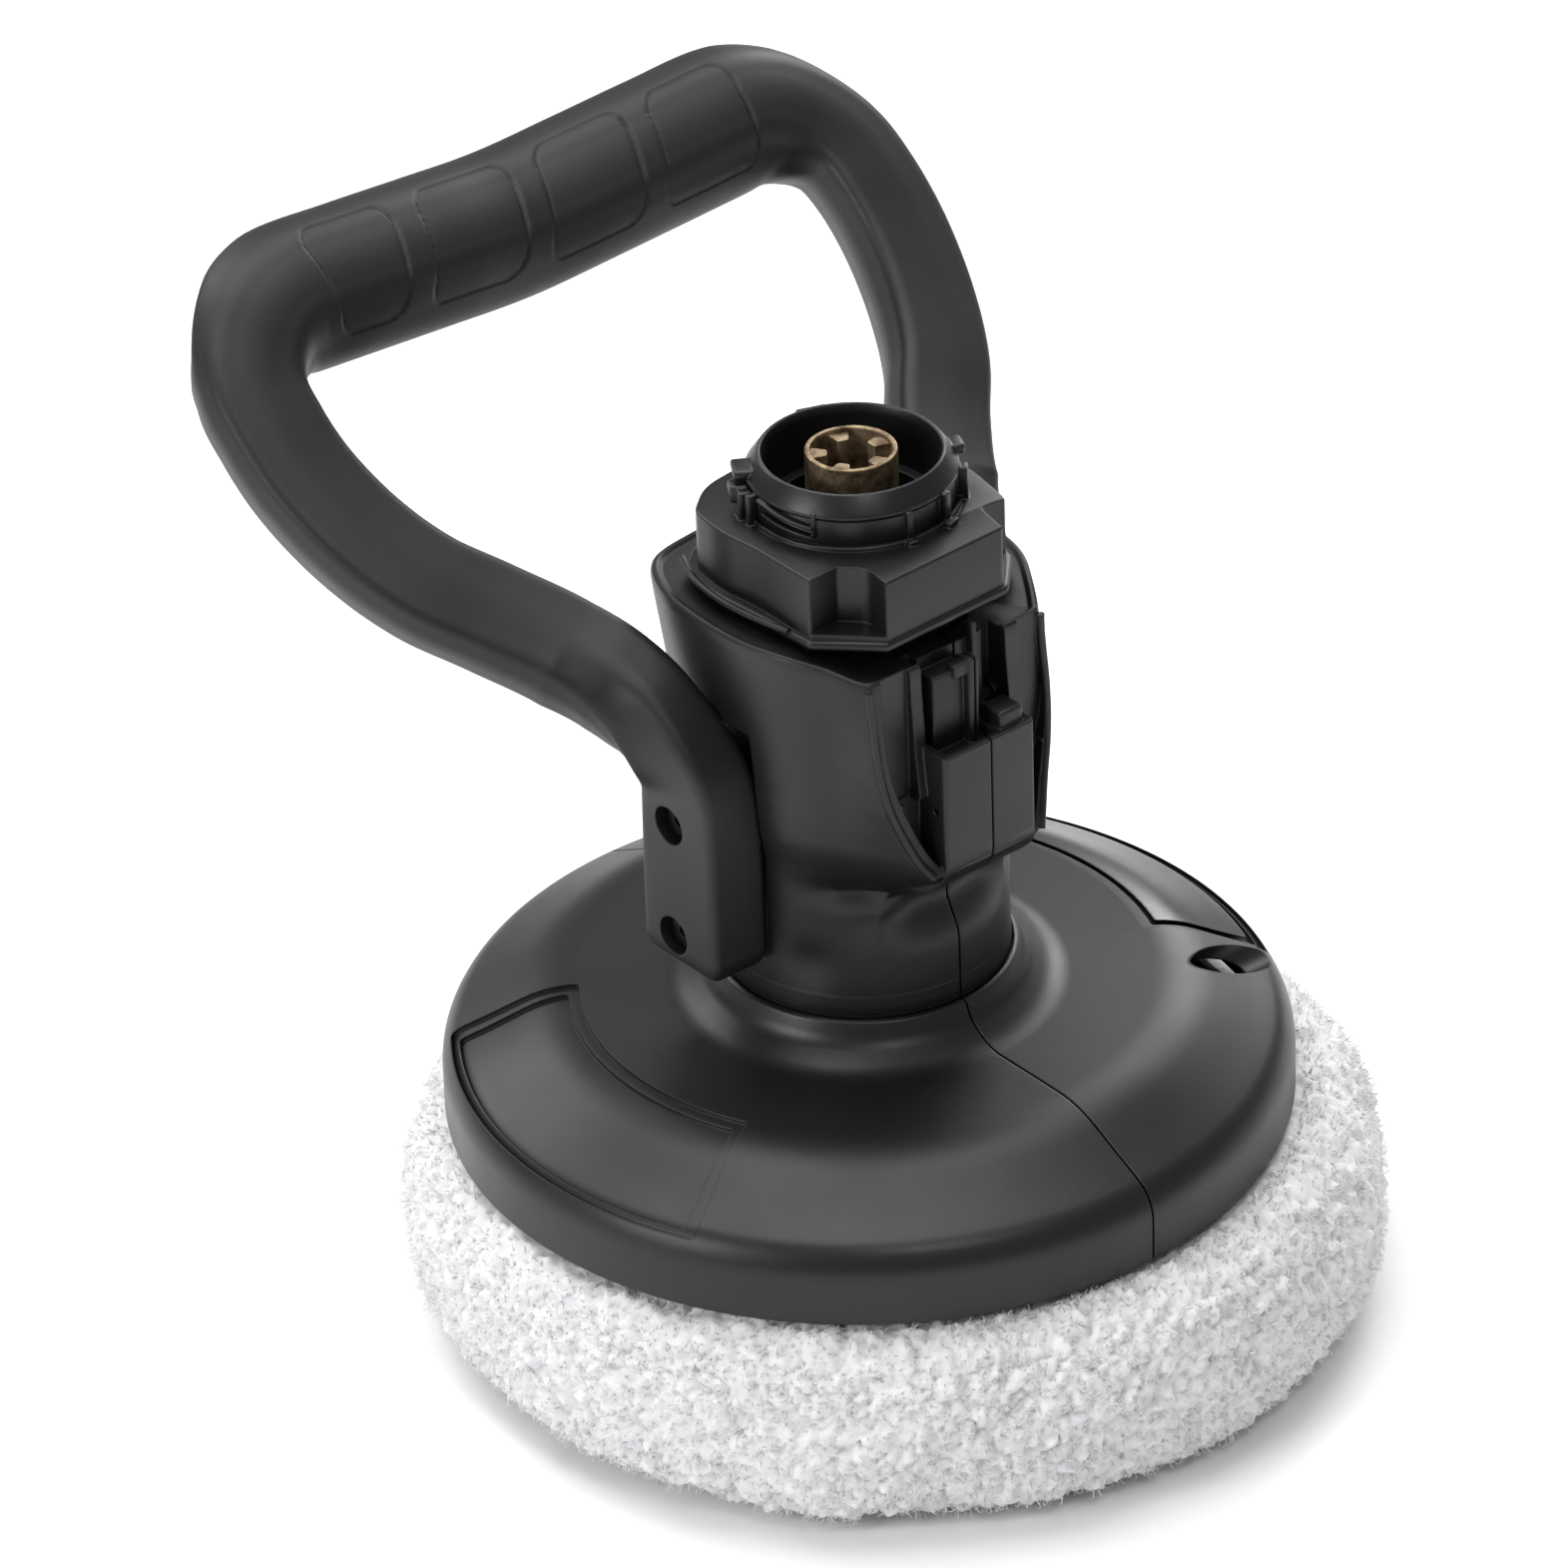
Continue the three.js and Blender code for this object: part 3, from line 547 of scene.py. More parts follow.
def rod(name: str, radius: float, start: Triple, end: Triple, facets: int = 48) -> bpy.types.Object:
    """A round rod between two points in millimetres."""
    deselect()
    a, b = Vector(start) * MM, Vector(end) * MM
    turn = (b - a).to_track_quat("Z", "Y").to_euler()
    bpy.ops.mesh.primitive_cylinder_add(
        vertices=facets,
        radius=radius * MM,
        depth=(b - a).length,
        location=(a + b) / 2,
        rotation=turn,
    )
    piece = bpy.context.object
    piece.name = name
    bpy.ops.object.transform_apply(location=True, rotation=True, scale=True)
    return piece


def bevel(piece: bpy.types.Object, width: float, segments: int = 2, angle: float = 35.0) -> None:
    """Rounds the sharp edges of a piece and applies it."""
    modifier = piece.modifiers.new("round_edges", "BEVEL")
    modifier.width = width * MM
    modifier.segments = segments
    modifier.limit_method = "ANGLE"
    modifier.angle_limit = math.radians(angle)
    apply(piece, modifier)


def apply(piece: bpy.types.Object, modifier: bpy.types.Modifier) -> None:
    """Applies a modifier to a piece's mesh."""
    pick(piece)
    bpy.ops.object.modifier_apply(modifier=modifier.name)


class Cut(Enum):
    """How one solid works on another."""

    AWAY = "DIFFERENCE"
    JOIN = "UNION"
    COMMON = "INTERSECT"


def work(piece: bpy.types.Object, tool: bpy.types.Object, how: Cut = Cut.AWAY) -> None:
    """Cuts a piece with a tool, or joins the tool to it, and drops the tool.

    Args:
        piece: Piece that is worked on.
        tool: Solid that works on it.
        how: Cut away, join or keep what is common.
    """
    modifier = piece.modifiers.new("work", "BOOLEAN")
    modifier.operation = how.value
    modifier.solver = "EXACT"
    modifier.object = tool
    apply(piece, modifier)
    bpy.data.objects.remove(tool, do_unlink=True)


def loft(name: str, rings: list[list[Vector]]) -> bpy.types.Object:
    """Skins a row of rings that have the same number of points.

    Args:
        name: Object name.
        rings: Rings of points in millimetres.

    Returns:
        The lofted piece, closed at both ends.
    """
    count = len(rings[0])
    points = [tuple(p) for ring in rings for p in ring]
    faces: list[tuple[int, ...]] = []
    for r in range(len(rings) - 1):
        for i in range(count):
            j = (i + 1) % count
            a, b = r * count, (r + 1) * count
            faces.append((a + i, a + j, b + j, b + i))
    faces.append(tuple(reversed(range(count))))
    faces.append(tuple(range((len(rings) - 1) * count, len(rings) * count)))
    piece = piece_from(name, points, faces)
    close_up(piece)
    return piece


def smooth(piece: bpy.types.Object, angle: float = 32.0) -> None:
    """Shades a piece smooth, with edges sharper than the angle left crisp."""
    pick(piece)
    bpy.ops.object.shade_smooth_by_angle(angle=math.radians(angle))


def join(pieces: list[bpy.types.Object], name: str) -> bpy.types.Object:
    """Joins pieces into one object under a name."""
    pick(pieces[0])
    for piece in pieces[1:]:
        piece.select_set(True)
    bpy.ops.object.join()
    pieces[0].name = name
    return pieces[0]


def half_of(piece: bpy.types.Object, side: int, gap: float, name: str) -> bpy.types.Object:
    """Copies a piece and keeps what lies on one side of the plane x = 0.

    Args:
        piece: Whole piece.
        side: 1 for +X, -1 for -X.
        gap: Width of the split line in millimetres.
        name: Name of the half.

    Returns:
        The half, closed along the split.
    """
    copy = piece.copy()
    copy.data = piece.data.copy()
    copy.name = name
    bpy.context.scene.collection.objects.link(copy)
    pick(copy)
    bpy.ops.object.mode_set(mode="EDIT")
    bpy.ops.mesh.select_all(action="SELECT")
    bpy.ops.mesh.bisect(
        plane_co=(side * gap / 2 * MM, 0, 0),
        plane_no=(side, 0, 0),
        clear_inner=True,
        use_fill=True,
    )
    bpy.ops.object.mode_set(mode="OBJECT")
    return copy


def catmull(points: list[Vector], closed: bool, each: int) -> list[Vector]:
    """Runs a centripetal spline through points, which never overshoots a short length.

    Args:
        points: Points on the curve.
        closed: Whether it runs back to the first point.
        each: Lengths between two points.

    Returns:
        Points along the curve.
    """
    out: list[Vector] = []
    count = len(points)
    for i in range(count if closed else count - 1):
        p1, p2 = points[i], points[(i + 1) % count]
        p0 = points[i - 1] if closed or i > 0 else 2 * p1 - p2
        p3 = points[(i + 2) % count] if closed or i + 2 < count else 2 * p2 - p1
        d0, d1, d2 = ((b - a).length ** 0.5 for a, b in ((p0, p1), (p1, p2), (p2, p3)))
        t1 = ((p1 - p0) / d0 - (p2 - p0) / (d0 + d1) + (p2 - p1) / d1) * d1
        t2 = ((p2 - p1) / d1 - (p3 - p1) / (d1 + d2) + (p3 - p2) / d2) * d1
        for k in range(each):
            t = k / each
            bend = (-3 * p1 + 3 * p2 - 2 * t1 - t2) * t**2 + (2 * p1 - 2 * p2 + t1 + t2) * t**3
            out.append(p1 + t1 * t + bend)
    if not closed:
        out.append(points[-1].copy())
    return out


def tube_along(name: str, path: list[Vector], across: float, facets: int = 10) -> bpy.types.Object:
    """Runs a bead of round section along a path.

    Args:
        name: Object name.
        path: Points in millimetres.
        across: Diameter of the bead.
        facets: Facets round its section.

    Returns:
        The bead.
    """
    rings = []
    for i, spot in enumerate(path):
        ahead = (path[min(i + 1, len(path) - 1)] - path[max(i - 1, 0)]).normalized()
        side = ahead.cross(Vector((0, 0, 1)))
        side = side.normalized() if side.length > 1e-3 else Vector((1, 0, 0))
        up = side.cross(ahead).normalized()
        ring = []
        for k in range(facets):
            a = 2 * math.pi * k / facets
            ring.append(spot + side * math.cos(a) * across / 2 + up * math.sin(a) * across / 2)
        rings.append(ring)
    return loft(name, rings)


# -------------------------------------------------------------------------- housing
@dataclass
class Housing:
    """Clamshell housing: cover disc, neck, upper body, front box and latch channel."""

    finishes: Finishes
    skirt_z: float = 42.0
    disc_r: float = 82.5
    wall: float = 2.5
    neck_r: float = 28.0
    split: float = 0.5
    box_half: float = 11.4
    box_front: float = -38.5
    lean: float = -0.9
    body_half: list[Pair] = field(
        default_factory=lambda: [
            (0, 31.5),
            (14, 31.3),
            (25, 28.5),
            (31.2, 18),
            (33.0, 6),
            (32.8, -7),
            (30.3, -17),
            (26.4, -23.8),
        ]
    )
    levels: list[tuple[float, ...]] = field(
        default_factory=lambda: [
            (75.4, 0.0, 0.0, 16.0, -22.9, 0.995),
            (76.0, 0.0, 0.0, 16.0, -22.9, 1.003),
            (80.2, 0.0, 0.0, 16.0, -22.9, 1.003),
            (88.0, 0.0, 0.0, 16.0, -22.9, 1.0),
            (96.0, 0.02, 0.03, 15.9, -23.2, 1.0),
            (101.0, 0.05, 0.09, 15.4, -24.6, 1.0),
            (104.5, 0.09, 0.2, 14.6, -27.8, 1.0),
            (107.5, 0.14, 0.38, 13.8, -32.2, 1.0),
            (109.5, 0.19, 0.54, 13.3, -35.8, 1.0),
            (111.5, 0.25, 0.68, 13.3, -37.2, 1.0),
            (114.5, 0.33, 0.8, 15.2, -35.6, 1.0),
            (120.0, 0.4, 0.9, 17.4, -33.9, 1.0),
            (126.0, 0.46, 0.96, 19.4, -32.7, 1.0),
            (132.0, 0.54, 0.98, 20.6, -31.9, 1.0),
            (138.0, 0.64, 0.99, 21.2, -31.3, 1.0),
            (146.0, 0.8, 1.0, 21.4, -30.8, 1.0),
            (152.0, 0.93, 1.0, 21.6, -30.5, 1.0),
            (156.0, 1.0, 1.0, 21.8, -30.4, 1.0),
            (157.0, 1.0, 1.0, 21.8, -30.4, 0.994),
            (157.5, 1.0, 1.0, 21.8, -30.4, 0.98),
            (157.5, 1.0, 1.0, 21.8, -30.4, 0.965),
            (157.1, 1.0, 1.0, 21.8, -30.4, 0.95),
            (156.8, 1.0, 1.0, 21.8, -30.4, 0.94),
            (156.7, 1.0, 1.0, 21.8, -30.4, 0.7),
        ]
    )
    # Soft thumb dents: angle from the front in degrees, height, spread of each, depth.
    dents: list[tuple[float, ...]] = field(
        default_factory=lambda: [
            (38.0, 103.0, 17.0, 2.4, 2.2),
            (16.0, 98.5, 13.0, 3.6, 1.0),
            (62.0, 86.0, 9.0, 4.5, 0.8),
        ]
    )
    right_side: float = 0.93
    ring_gear_r: float = 22.0
    panel_turn: float = 6.2

    def disc_profile(self) -> list[Pair]:
        """Outline of the disc's wall and the neck, as (radius, height).

        Returns:
            Closed profile with every corner rounded.
        """
        z, w = self.skirt_z, self.wall
        corners = [
            (self.disc_r, z, 0.6),
            (self.disc_r, z + 11.2, 2.2),
            (80.1, z + 15.4, 3.0),
            (73.1, z + 18.9, 5.0),
            (61.5, z + 24.9, 6.0),
            (36.5, z + 25.1, 7.0),
            (31.0, z + 29.0, 4.0),
            (29.4, z + 32.6, 0.8),
            (28.5, z + 32.9, 0.15),
            (28.4, z + 31.6, 0.1),
            (27.9, z + 31.6, 0.1),
            (27.95, z + 37.5, 0.5),
            (26.0, z + 39.5, 0.5),
            (24.5, z + 39.5, 0.5),
            (17.5, z + 38, 1.0),
            (17.5, z + 20, 1.0),
            (30.0, z + 20, 1.0),
            (32.0, z + 22.4, 2.0),
            (60.0, z + 22.3, 4.0),
            (71.8, z + 16.5, 4.0),
            (77.6, z + 13.0, 3.0),
            (self.disc_r - w, z + 9.5, 2.0),
            (self.disc_r - w, z, 0.6),
        ]
        return rounded(corners, 1.0, 6)

    def surface(self, depth: float) -> list[Pair]:
        """The disc's shoulder from its rim inwards, sunk by a depth."""
        z = self.skirt_z
        corners = [
            (self.disc_r - depth, z + 5, 0.1),
            (self.disc_r - depth, z + 11.2 - depth * 0.3, 2.2),
            (80.1 - depth * 0.9, z + 15.4 - depth * 0.7, 3.0),
            (73.1 - depth * 0.5, z + 18.9 - depth, 5.0),
            (61.5 - depth * 0.3, z + 24.9 - depth, 6.0),
            (40.0, z + 25.0 - depth, 0.1),
        ]
        return rounded([*corners, (40, z + 5, 0.1)], 1.0, 6)

    def sector(
        self, inner: float, outer: float, half: float, side: int, corner: float
    ) -> list[Pair]:
        """Outline of a ring sector centred on the X axis.

        Args:
            inner: Inner radius.
            outer: Outer radius.
            half: Half of its angle, in degrees.
            side: 1 for +X, -1 for -X.
            corner: Corner radius.

        Returns:
            Points of the outline.
        """
        steps = 40
        shift = math.radians(self.panel_turn)
        turn = shift if side > 0 else math.pi - shift
        span = math.radians(half)
        arc = [turn - span + 2 * span * k / steps for k in range(steps + 1)]
        path = [(outer * math.cos(a), outer * math.sin(a), 0.0) for a in arc]
        path[0] = (*path[0][:2], corner)
        path[-1] = (*path[-1][:2], corner)
        back = [(inner * math.cos(a), inner * math.sin(a), 0.0) for a in reversed(arc)]
        back[0] = (*back[0][:2], corner)
        back[-1] = (*back[-1][:2], corner)
        return rounded([*path, *back], 0.0, 4)

    def sunk_panel(self, depth: float, outline: list[Pair], name: str) -> bpy.types.Object:
        """Solid above the shoulder's skin at a depth, within an outline."""
        z = self.skirt_z
        under = [p for p in self.surface(depth) if p[1] > z + 9][::-1]
        profile = [*under, (self.disc_r + 6, z + 9), (self.disc_r + 6, z + 40), (40, z + 40)]
        band = spun(name, profile, 256)
        work(band, prism(name + "_edge", outline, z, z + 50), Cut.COMMON)
        return band

    def disc(self) -> bpy.types.Object:
        """The cover disc and neck, with panels and screw bores cut in."""
        whole = spun("disc", self.disc_profile(), 256)
        for side in (-1, 1):
            rim = self.sector(55.5, 80.6, 32.2, side, 4.0)
            work(whole, self.sunk_panel(0.8, rim, "panel_step"))
            floor = self.sector(57.6, 79.0, 30.2, side, 2.5)
            work(whole, self.sunk_panel(1.6, floor, "panel_floor"))
            y, z = 38.0 * side, self.skirt_z + 19.5
            work(whole, rod("bore", 4.4, (44, y, z), (95, y, z), 64))
        return whole

    def outline_at(self, level: tuple[float, ...], each: int = 9) -> list[Vector]:
        """Section of the upper body, between the round neck and its full outline.

        Args:
            level: Height, shares of the full outline along X and Y, front corner, shrink.
            each: Lengths between two outline points.

        Returns:
            Points of the section.
        """
        z, wide, deep, corner_x, corner_y, shrink = level
        half: list[Pair] = []
        for x, y in self.body_half:
            ring = Vector((x, y)).normalized() * (self.neck_r - 0.1)
            half.append((ring.x + (x - ring.x) * wide, ring.y + (y - ring.y) * deep))
        half.append((corner_x + 0.6, corner_y + 0.9))
        half.append((corner_x - 0.5, corner_y - 0.1))
        half.append((corner_x * 0.5, corner_y - 0.9))
        left = [(-x, y) for x, y in half[:0:-1]]
        points = []
        for x, y in [*half, *left]:
            drop = 3.4 * smooth_step(-19.0, -31.0, y) * smooth_step(138.0, 156.0, z)
            side = 1 + (self.right_side - 1) * wide if x > 0 else 1.0
            points.append(Vector((x * side * shrink + self.lean * wide, y * shrink, z - drop)))
        skin = []
        for p in catmull(points, True, each):
            circle = Vector((p.x, p.y, 0)).normalized() * self.neck_r * shrink
            circle.z = p.z
            skin.append(self.dented(circle.lerp(p, smooth_step(88.0, 99.0, z))))
        return skin

    def dented(self, spot: Vector) -> Vector:
        """Presses the soft dents into a point of the skin."""
        away = Vector((spot.x, spot.y, 0))
        angle = math.degrees(math.atan2(abs(spot.x), -spot.y))
        depth = 0.0
        for turn, height, wide, tall, deep in self.dents:
            across, along = (angle - turn) / wide, (spot.z - height) / tall
            depth += deep * math.exp(-(across**2) - along**2)
        return spot - away.normalized() * depth

    def upper_body(self) -> bpy.types.Object:
        """The upper body, with a raised lip round its top."""
        knots = [Vector(level) for level in self.levels]
        fine: list[tuple[float, ...]] = []
        for low, high in zip(knots[:-1], knots[1:]):
            steps = max(1, round((high[0] - low[0]) / 1.5))
            fine += [tuple(low.lerp(high, k / steps)) for k in range(steps)]
        return loft("upper_body", [self.outline_at(level) for level in [*fine, tuple(knots[-1])]])

    def front_box(self) -> bpy.types.Object:
        """The latch box below the channel, with rounded edges."""
        y, half = self.box_front, self.box_half
        side = rounded(
            [(y, 137.0, 0.5), (y, 110.6, 3.6), (-31.0, 103.6, 5.0), (-20.0, 103.6), (-20.0, 137.0)],
            0.3,
            7,
        )
        plan = rounded(
            [(-half, -20.0), (-half, y, 0.9), (half - 0.8, y, 0.9), (half - 0.8, -20.0)],
            0.3,
            5,
        )
        box = prism("front_box", side, -20, 20, Axis.X)
        work(box, prism("box_plan", plan, 100, 140), Cut.COMMON)
        work(box, block("box_pocket", (-9.8, -37.0, 134.8), (2.4, -10.0, 150)))
        work(box, rod("dot", 0.7, (-half - 1, -35.6, 124.5), (-half + 1.2, -35.6, 124.5), 24))
        return box

    def recess(self, body: bpy.types.Object) -> None:
        """Cuts the recess beside the box, the latch channel and the handle's pockets."""
        for side in (-1, 1):
            panel = [(13.2, 160), (20.0, 160), (19.8, 146), (19.6, 138), (18.9, 132), (17.6, 127)]
            slope = [(17.6, 127), (15.4, 120.5), (13.6, 116.0), (12.0, 113.2)]
            pocket = [(11.0, 127), *slope, (11.0, 113)]
            low = [(side * x, z) for x, z in [*panel, (13.2, 127)]]
            work(body, prism("panel", rounded(low, 0.8, 3), -50, -30.3, Axis.Y))
            deep = [(side * x, z) for x, z in pocket]
            work(body, prism("pocket", rounded(deep, 0.8, 3), -50, -30.9, Axis.Y))
            near, far = sorted((side * 28.0, side * 48.0))
            work(body, block("foot_pocket", (near, -5.6, 83.6), (far, 18.0, 136)))
        work(body, block("channel", (-10.6, -50, 130.2), (10.0, -28.2, 170)))
        work(body, block("channel_deep", (-10.6, -50, 118), (-8.9, -25.6, 170)))
        work(body, block("channel_right", (6.8, -50, 118), (10.0, -26.2, 170)))

    def rails(self) -> list[bpy.types.Object]:
        """Tongue, ribs and stop inside the latch channel."""
        return [
            block("tongue", (-8.6, -32.4, 118), (1.0, -27, 150.6), 0.35),
            block("tongue_rib", (-1.4, -34.2, 118), (1.0, -31, 152.6), 0.3),
            block("tongue_top", (-4.4, -33.6, 149.4), (1.0, -31, 152.2), 0.3),
            block("side_rib", (3.0, -30.0, 124), (4.2, -27, 157), 0.25),
            block("stop", (3.4, -37.2, 134.6), (9.0, -31.5, 140.4), 0.6),
            block("stop_neck", (4.4, -34, 134.6), (6.2, -27, 139.4), 0.3),
        ]

    def foot_pads(self) -> list[bpy.types.Object]:
        """Flat pads that the handle's feet are screwed to."""
        pads = []
        for side in (-1, 1):
            low, high = sorted((side * 23.0, side * 28.0))
            pads.append(block("foot_pad", (low, -4.6, 84.5), (high, 15.4, 121), 0.8))
        return pads

    def skin_bead(self) -> list[bpy.types.Object]:
        """Raised bead down the skin's front corners, from the rim to the foot of the box."""
        beads = []
        for side in (-1, 1):
            path = []
            share = self.right_side if side > 0 else 1.0
            for z, wide, _, x, y, _ in self.levels[9:18]:
                drop = 3.2 * smooth_step(138.0, 156.0, z)
                scale = 1 + (share - 1) * wide
                path.append(Vector((side * x * scale + self.lean * wide, y - 0.1, z - drop)))
            beads.append(tube_along("skin_bead", catmull(path, False, 8), 1.7))
        return beads

    def gearbox_space(self) -> bpy.types.Object:
        """The stepped bore that the gears, bearings and spindle turn in."""
        ring = self.ring_gear_r + 0.3
        steps = [(0.01, 70.0), (22.6, 70.0), (22.6, 93.0), (14.4, 96.0), (14.4, 106.0)]
        steps += [(ring, 107.0), (ring, 125.5), (11.4, 125.5), (11.4, 135.4)]
        steps += [(16.1, 137.0), (16.1, 150.1)]
        steps += [(23.9, 150.1), (23.9, 170.0), (0.01, 170.0)]
        return spun("gearbox_space", steps, 96)

    def build(self) -> None:
        """Makes both halves and reports them."""
        disc = self.disc()
        body = self.upper_body()
        self.recess(body)
        front_box = self.front_box()
        work(body, self.gearbox_space())
        work(front_box, self.gearbox_space())
        solids = [body, front_box, *self.rails(), *self.foot_pads(), *self.skin_bead()]
        for i, spot in enumerate(((26.4, 119.0), (26.4, 143.0), (-26.2, 138.0))):
            work(body, rod(f"screw_bore_{i}", 3.2, (9, *spot), (60, *spot)))
        for side, node in ((-1, "housing_left"), (1, "housing_right")):
            halves = [half_of(p, side, self.split, "half") for p in [disc, *solids]]
            for empty in [h for h in halves if not h.data.vertices]:
                bpy.data.objects.remove(empty, do_unlink=True)
                halves.remove(empty)
            shell = join(halves, f"{node}_shell")
            smooth(shell, 30)
            self.finishes.dress(shell, SHELL)
            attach(shell, "housing")
            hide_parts(node)
            LOG.info("%s: %d faces", shell.name, len(shell.data.polygons))
        for piece in [disc, *solids]:
            bpy.data.objects.remove(piece, do_unlink=True)
        self.label()

    def label(self) -> None:
        """Blank label film in the right panel."""
        outline = self.sector(58.8, 77.8, 28.6, 1, 3.0)
        z = self.skirt_z
        under = [p for p in self.surface(1.0) if p[1] > z + 9][::-1]
        over = [p for p in self.surface(0.75) if p[1] > z + 9]
        film = spun("label_film", [*under, *over], 256)
        work(film, prism("film_edge", outline, z, z + 50), Cut.COMMON)
        smooth(film, 30)
        self.finishes.dress(film, LABEL)
        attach(film, "housing")
        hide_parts("label_plate")
        LOG.info("%s: %d faces", film.name, len(film.data.polygons))


# -------------------------------------------------------------------------- coupler
@dataclass
class Coupler:
    """Block, flange and bayonet ring that lock onto the base unit, and the drive socket."""

    finishes: Finishes
    base_z: float = 158.3
    block_top: float = 172.7
    ring_top: float = 183.1
    ring_skirt: float = 20.1
    socket_r: float = 8.73
    socket_bore: float = 7.7
    teeth: int = 5
    plan: list[tuple[float, ...]] = field(
        default_factory=lambda: [
            (-16.3, -28.6, 0.5),
            (13.2, -27.6, 1.0),
            (20.8, -19.4, 1.2),
            (23.6, -5.0, 12.0),
            (23.0, 14.0, 3.0),
            (17.0, 22.0, 4.0),
            (0.0, 24.4, 12.0),
            (-18.0, 22.0, 4.0),
            (-25.0, 16.2, 2.0),
            (-26.6, 7.2, 9.0),
            (-25.7, -2.0, 9.0),
            (-26.0, -18.2, 0.8),
        ]
    )

    def outline(self, grow: float = 0.0) -> list[Pair]:
        """Plan outline of the block, grown outward by a distance, and by less in front."""
        points = []
        for x, y, size in self.plan:
            more = grow * (1 - 0.6 * smooth_step(-8.0, -24.0, y)) / math.hypot(x, y)
            points.append((x * (1 + more), y * (1 + more), size))
        return rounded(points, 1.0, 8)

    def body(self) -> bpy.types.Object:
        """Block with its corner notches, on its flange."""
        whole = prism("coupler_block", self.outline(), self.base_z, self.block_top)
        bevel(whole, 0.45, 3, 60)
        corners = [(-30, -18.4), (-19.0, -18.0), (-15.1, -22.2, 2.0), (-16.2, -28.4)]
        notch = rounded([*corners, (-17, -34), (-30, -34)], 0.25, 3)
        work(whole, prism("corner_notch", notch, 161.2, 180))
        corners = [(13.0, -34), (13.2, -26.6), (14.8, -19.2, 1.2), (20.6, -19.8)]
        notch = rounded([*corners, (30, -22), (30, -34)], 0.3, 3)
        work(whole, prism("side_notch", notch, 161.2, 180))
        flange = prism("flange", self.outline(2.2), self.base_z, self.base_z + 1.9)
        bevel(flange, 0.7, 3, 60)
        work(whole, flange, Cut.JOIN)
        return whole

    def ring(self) -> bpy.types.Object:
        """Bayonet ring with its chamfered mouth and seam."""
        top, deck, skirt = self.ring_top, self.block_top, self.ring_skirt
        corners = [
            (skirt - 0.5, deck - 1, 0.1),
            (skirt - 0.5, deck + 5.7, 0.1),
            (skirt - 0.9, deck + 5.8, 0.1),
            (skirt - 0.9, deck + 6.1, 0.1),
            (skirt, deck + 6.2, 0.2),
            (skirt, deck + 6.9, 0.4),
            (17.6, top, 0.4),
            (17.0, top, 0.3),
            (16.6, top - 1.6, 0.4),
            (16.2, 166.2, 0.5),
            (10.6, 166.2, 0.4),
            (10.6, 160.0, 0.4),
            (14.0, 160.0, 0.4),
            (14.0, deck - 1, 0.1),
        ]
        return spun("coupling_ring", rounded(corners, 0.4, 3), 160)

    def lug(
        self, angle: float, low: Triple, high: Triple, soften: float = 0.25
    ) -> bpy.types.Object:
        """A small block beside the ring, turned about its axis.

        Args:
            angle: Turn from +X in degrees.
            low: Lowest corner before the turn.
            high: Highest corner before the turn.
            soften: Edge radius.

        Returns:
            The turned block.
        """
        piece = block("lug", low, high, soften)
        piece.data.transform(Matrix.Rotation(math.radians(angle), 4, "Z"))
        return piece

    def ramp(
        self, start: float, sweep: float, bottom: float, rise: float, thick: float
    ) -> bpy.types.Object:
        """A helical bayonet ramp on the ring's skirt.

        Args:
            start: First angle in degrees.
            sweep: Angle that it covers.
            bottom: Height of its underside at the start.
            rise: How far it climbs.
            thick: Its height.

        Returns:
            The ramp.
        """
        rings = []
        for k in range(19):
            a = math.radians(start + sweep * k / 18)
            z = bottom + rise * k / 18
            out = Vector((math.cos(a), math.sin(a), 0))
            inner, outer = self.ring_skirt - 1.2, self.ring_skirt + 0.9
            rings.append(
                [
                    out * inner + Vector((0, 0, z)),
                    out * outer + Vector((0, 0, z + 0.2)),
                    out * outer + Vector((0, 0, z + thick - 0.2)),
                    out * inner + Vector((0, 0, z + thick)),
                ]
            )
        return loft("bayonet_ramp", rings)

    def details(self) -> list[bpy.types.Object]:
        """Ribs, bayonet lugs and ramps round the ring, and ribs inside it."""
        deck = self.block_top
        hem = [Vector((math.cos(a), math.sin(a), 0)) for a in np.linspace(0, 2 * math.pi, 97)]
        made = [
            tube_along("base_bead", [p * 20.2 + Vector((0, 0, deck + 0.3)) for p in hem], 1.1),
            self.lug(261.3, (19.0, -0.7, deck - 0.5), (20.9, 0.7, deck + 6.4)),
            self.lug(261.3, (20.0, -1.1, deck - 0.5), (22.1, 1.1, deck + 0.9)),
            self.lug(287.8, (19.0, -0.8, deck - 0.5), (21.2, 0.8, deck + 6.8)),
            self.lug(287.8, (20.0, -1.4, deck - 0.5), (22.5, 1.4, deck + 1.2)),
            self.lug(318, (19.2, -1.3, deck - 0.5), (21.6, 1.3, deck + 6.6)),
            self.lug(336, (18.0, -2.2, deck + 6.4), (21.6, 2.2, deck + 8.4), 0.6),
            self.lug(148, (17.6, -3.6, deck + 6.8), (22.4, 2.2, deck + 8.6), 0.6),
            self.lug(157, (19.4, -1.6, deck - 0.5), (22.4, 1.6, deck + 5.6), 0.3),
            self.lug(151, (19.8, -1.8, deck + 2.4), (23.4, 1.8, deck + 6.0), 0.6),
            self.lug(166, (19.4, -0.8, deck - 0.5), (21.8, 0.8, deck + 6.2), 0.3),
            self.lug(70, (19.2, -3.0, deck + 5.2), (22.6, 3.0, deck + 7.6), 0.4),
            self.lug(209, (19.0, -0.4, deck + 2.4), (20.3, 0.4, deck + 7.2), 0.1),
            self.ramp(172, 37, deck + 5.6, -1.6, 0.8),
            self.ramp(176, 33, deck + 3.4, -1.4, 0.8),
            self.ramp(60, 30, deck + 3.0, -2.0, 1.1),
        ]
        for k in range(6):
